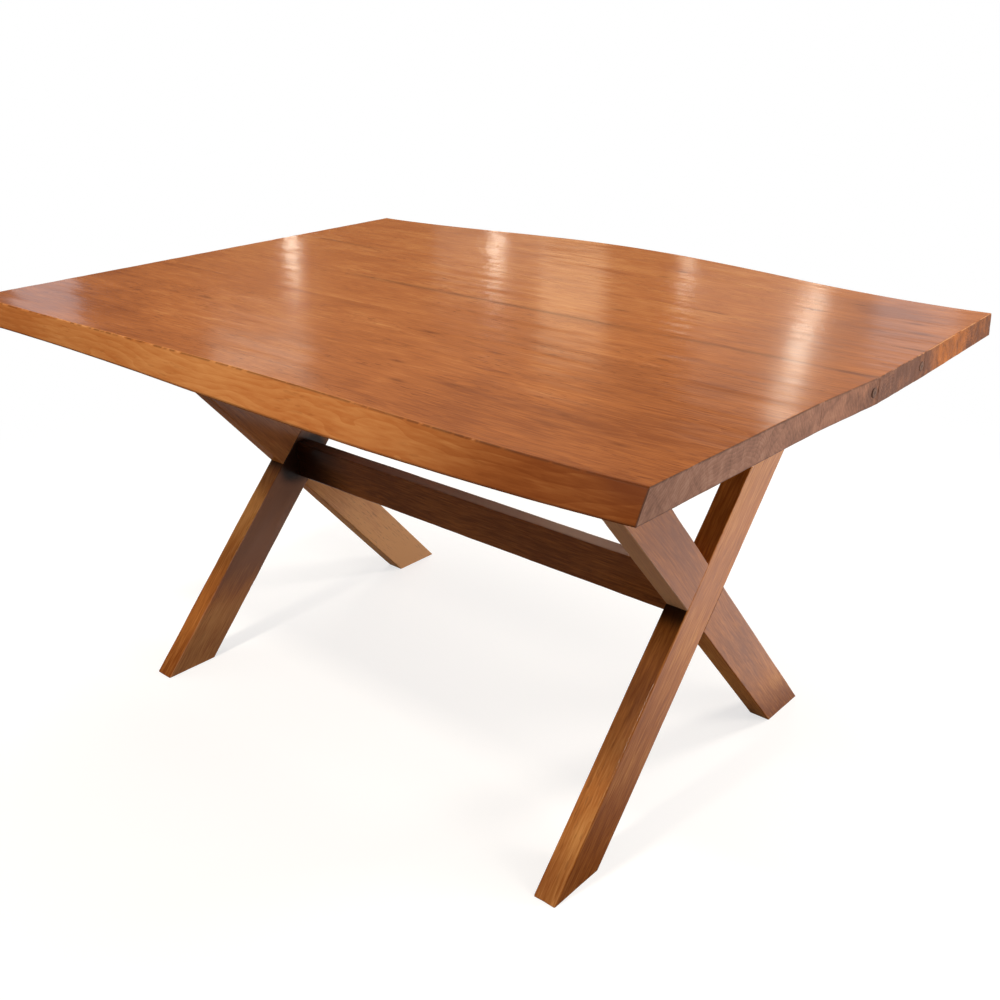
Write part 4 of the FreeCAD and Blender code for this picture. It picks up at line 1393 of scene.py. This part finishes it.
# name: place, what it looks at, width and height in metres, watts, colour
LAMPS = {
    "front_high_lamp": ((-0.3, -2.0, 3.3), (0, -0.4, 0.4), (0.3, 0.3), 48, WARM),
    "front_low_lamp": ((-0.2, -3.2, 3.2), (0, -0.4, 0.4), (0.3, 0.3), 40, WARM),
    "over_softbox": ((-1.2, 0.9, 2.8), (-0.3, 0.1, 0.7), (1.4, 1.2), 35, SOFT),
    "back_softbox": ((1.6, 1.9, 1.9), (0, 0.3, 0.1), (0.6, 0.6), 38, SOFT),
    "side_softbox": ((1.5, 0.2, 0.95), (0.5, 0, 0.5), (0.5, 0.5), 7.5, SOFT),
    "bright_lamp": ((-1.42, 4.2, 2.0), (0.59, 0.03, 0.76), (0.09, 0.14), 0.68, BULB),
    "bright_lamp_beyond": ((-1.83, 5.25, 2.0), (0.49, 0.3, 0.76), (0.1, 0.12), 0.52, BULB),
    "bright_lamp_near": ((-1.0, 3.22, 2.0), (0.7, -0.22, 0.76), (0.12, 0.2), 0.4, BULB),
    "middle_lamp": ((-4.63, 5.38, 2.0), (-0.24, 0.34, 0.76), (0.1, 0.1), 0.7, BULB),
    "middle_glow": ((-4.7, 5.4, 2.0), (-0.24, 0.34, 0.76), (0.9, 0.5), 0.8, BULB),
    "left_lamp": ((-5.94, 4.39, 2.0), (-0.58, 0.08, 0.76), (0.08, 0.12), 0.83, BULB),
    "left_low_lamp": ((-3.46, 2.13, 2.0), (0.07, -0.5, 0.76), (0.5, 0.2), 0.8, BULB),
    "back_lamp": ((-3.13, 5.81, 2.0), (0.15, 0.45, 0.76), (0.1, 0.1), 0.45, BULB),
    "broad_lamp": ((-3.11, 4.38, 2.0), (0.15, 0.08, 0.76), (0.42, 0.6), 1.3, AMBER),
    "right_glow": ((-1.3, 4.8, 2.1), (0.6, 0.1, 0.76), (2.0, 0.9), 2.5, WARM),
    "left_window": ((-5.79, 2.19, 2.0), (-0.4, -0.4, 0.76), (0.4, 0.6), 1.15, DAYLIGHT),
    "right_window": ((-1.3, 5.56, 2.0), (0.6, 0.3, 0.76), (0.5, 0.6), 0.9, DAYLIGHT),
}
for name, (place, target, size, watts, code) in LAMPS.items():
    lamp = bpy.data.lights.new(name, "AREA")
    lamp.shape = "RECTANGLE"
    lamp.size, lamp.size_y = size
    lamp.energy = watts
    lamp.color = linear(code)[:3]
    holder = bpy.data.objects.new(name, lamp)
    aim = Vector(target) - Vector(place)
    holder.matrix_world = Matrix.Translation(place) @ aim.to_track_quat("-Z", "Y").to_matrix().to_4x4()
    holder.visible_camera = False
    scene.collection.objects.link(holder)
print(len(LAMPS), "lamps with", round(sum(facts[3] for facts in LAMPS.values())), "watts")

# %% Sky
world = bpy.data.worlds.new("studio")
scene.world = world
world.use_nodes = True
sky = world.node_tree
sky.nodes.clear()
ray = add(sky, "ShaderNodeLightPath").outputs
up = add(sky, "ShaderNodeSeparateXYZ", {0: add(sky, "ShaderNodeTexCoord").outputs["Generated"]}).outputs[2]
dome = add(sky, "ShaderNodeMapRange", {0: up, 1: 0, 2: 0.7, 3: 0.12, 4: 0.38}).outputs[0]
fill = add(sky, "ShaderNodeBackground", {"Color": (1, 1, 1, 1), "Strength": dome}).outputs[0]
dim = add(sky, "ShaderNodeBackground", {"Color": (1, 1, 1, 1), "Strength": 0.07}).outputs[0]
white = add(sky, "ShaderNodeBackground", {"Color": (1, 1, 1, 1), "Strength": 1}).outputs[0]
backdrop = add(sky, "ShaderNodeMixShader", {0: ray["Is Glossy Ray"], 1: fill, 2: dim}).outputs[0]
backdrop = add(sky, "ShaderNodeMixShader", {0: ray["Is Camera Ray"], 1: backdrop, 2: white}).outputs[0]
add(sky, "ShaderNodeOutputWorld", {"Surface": backdrop})
scene.view_settings.view_transform = "Standard"
print("sky of", len(sky.nodes), "nodes")
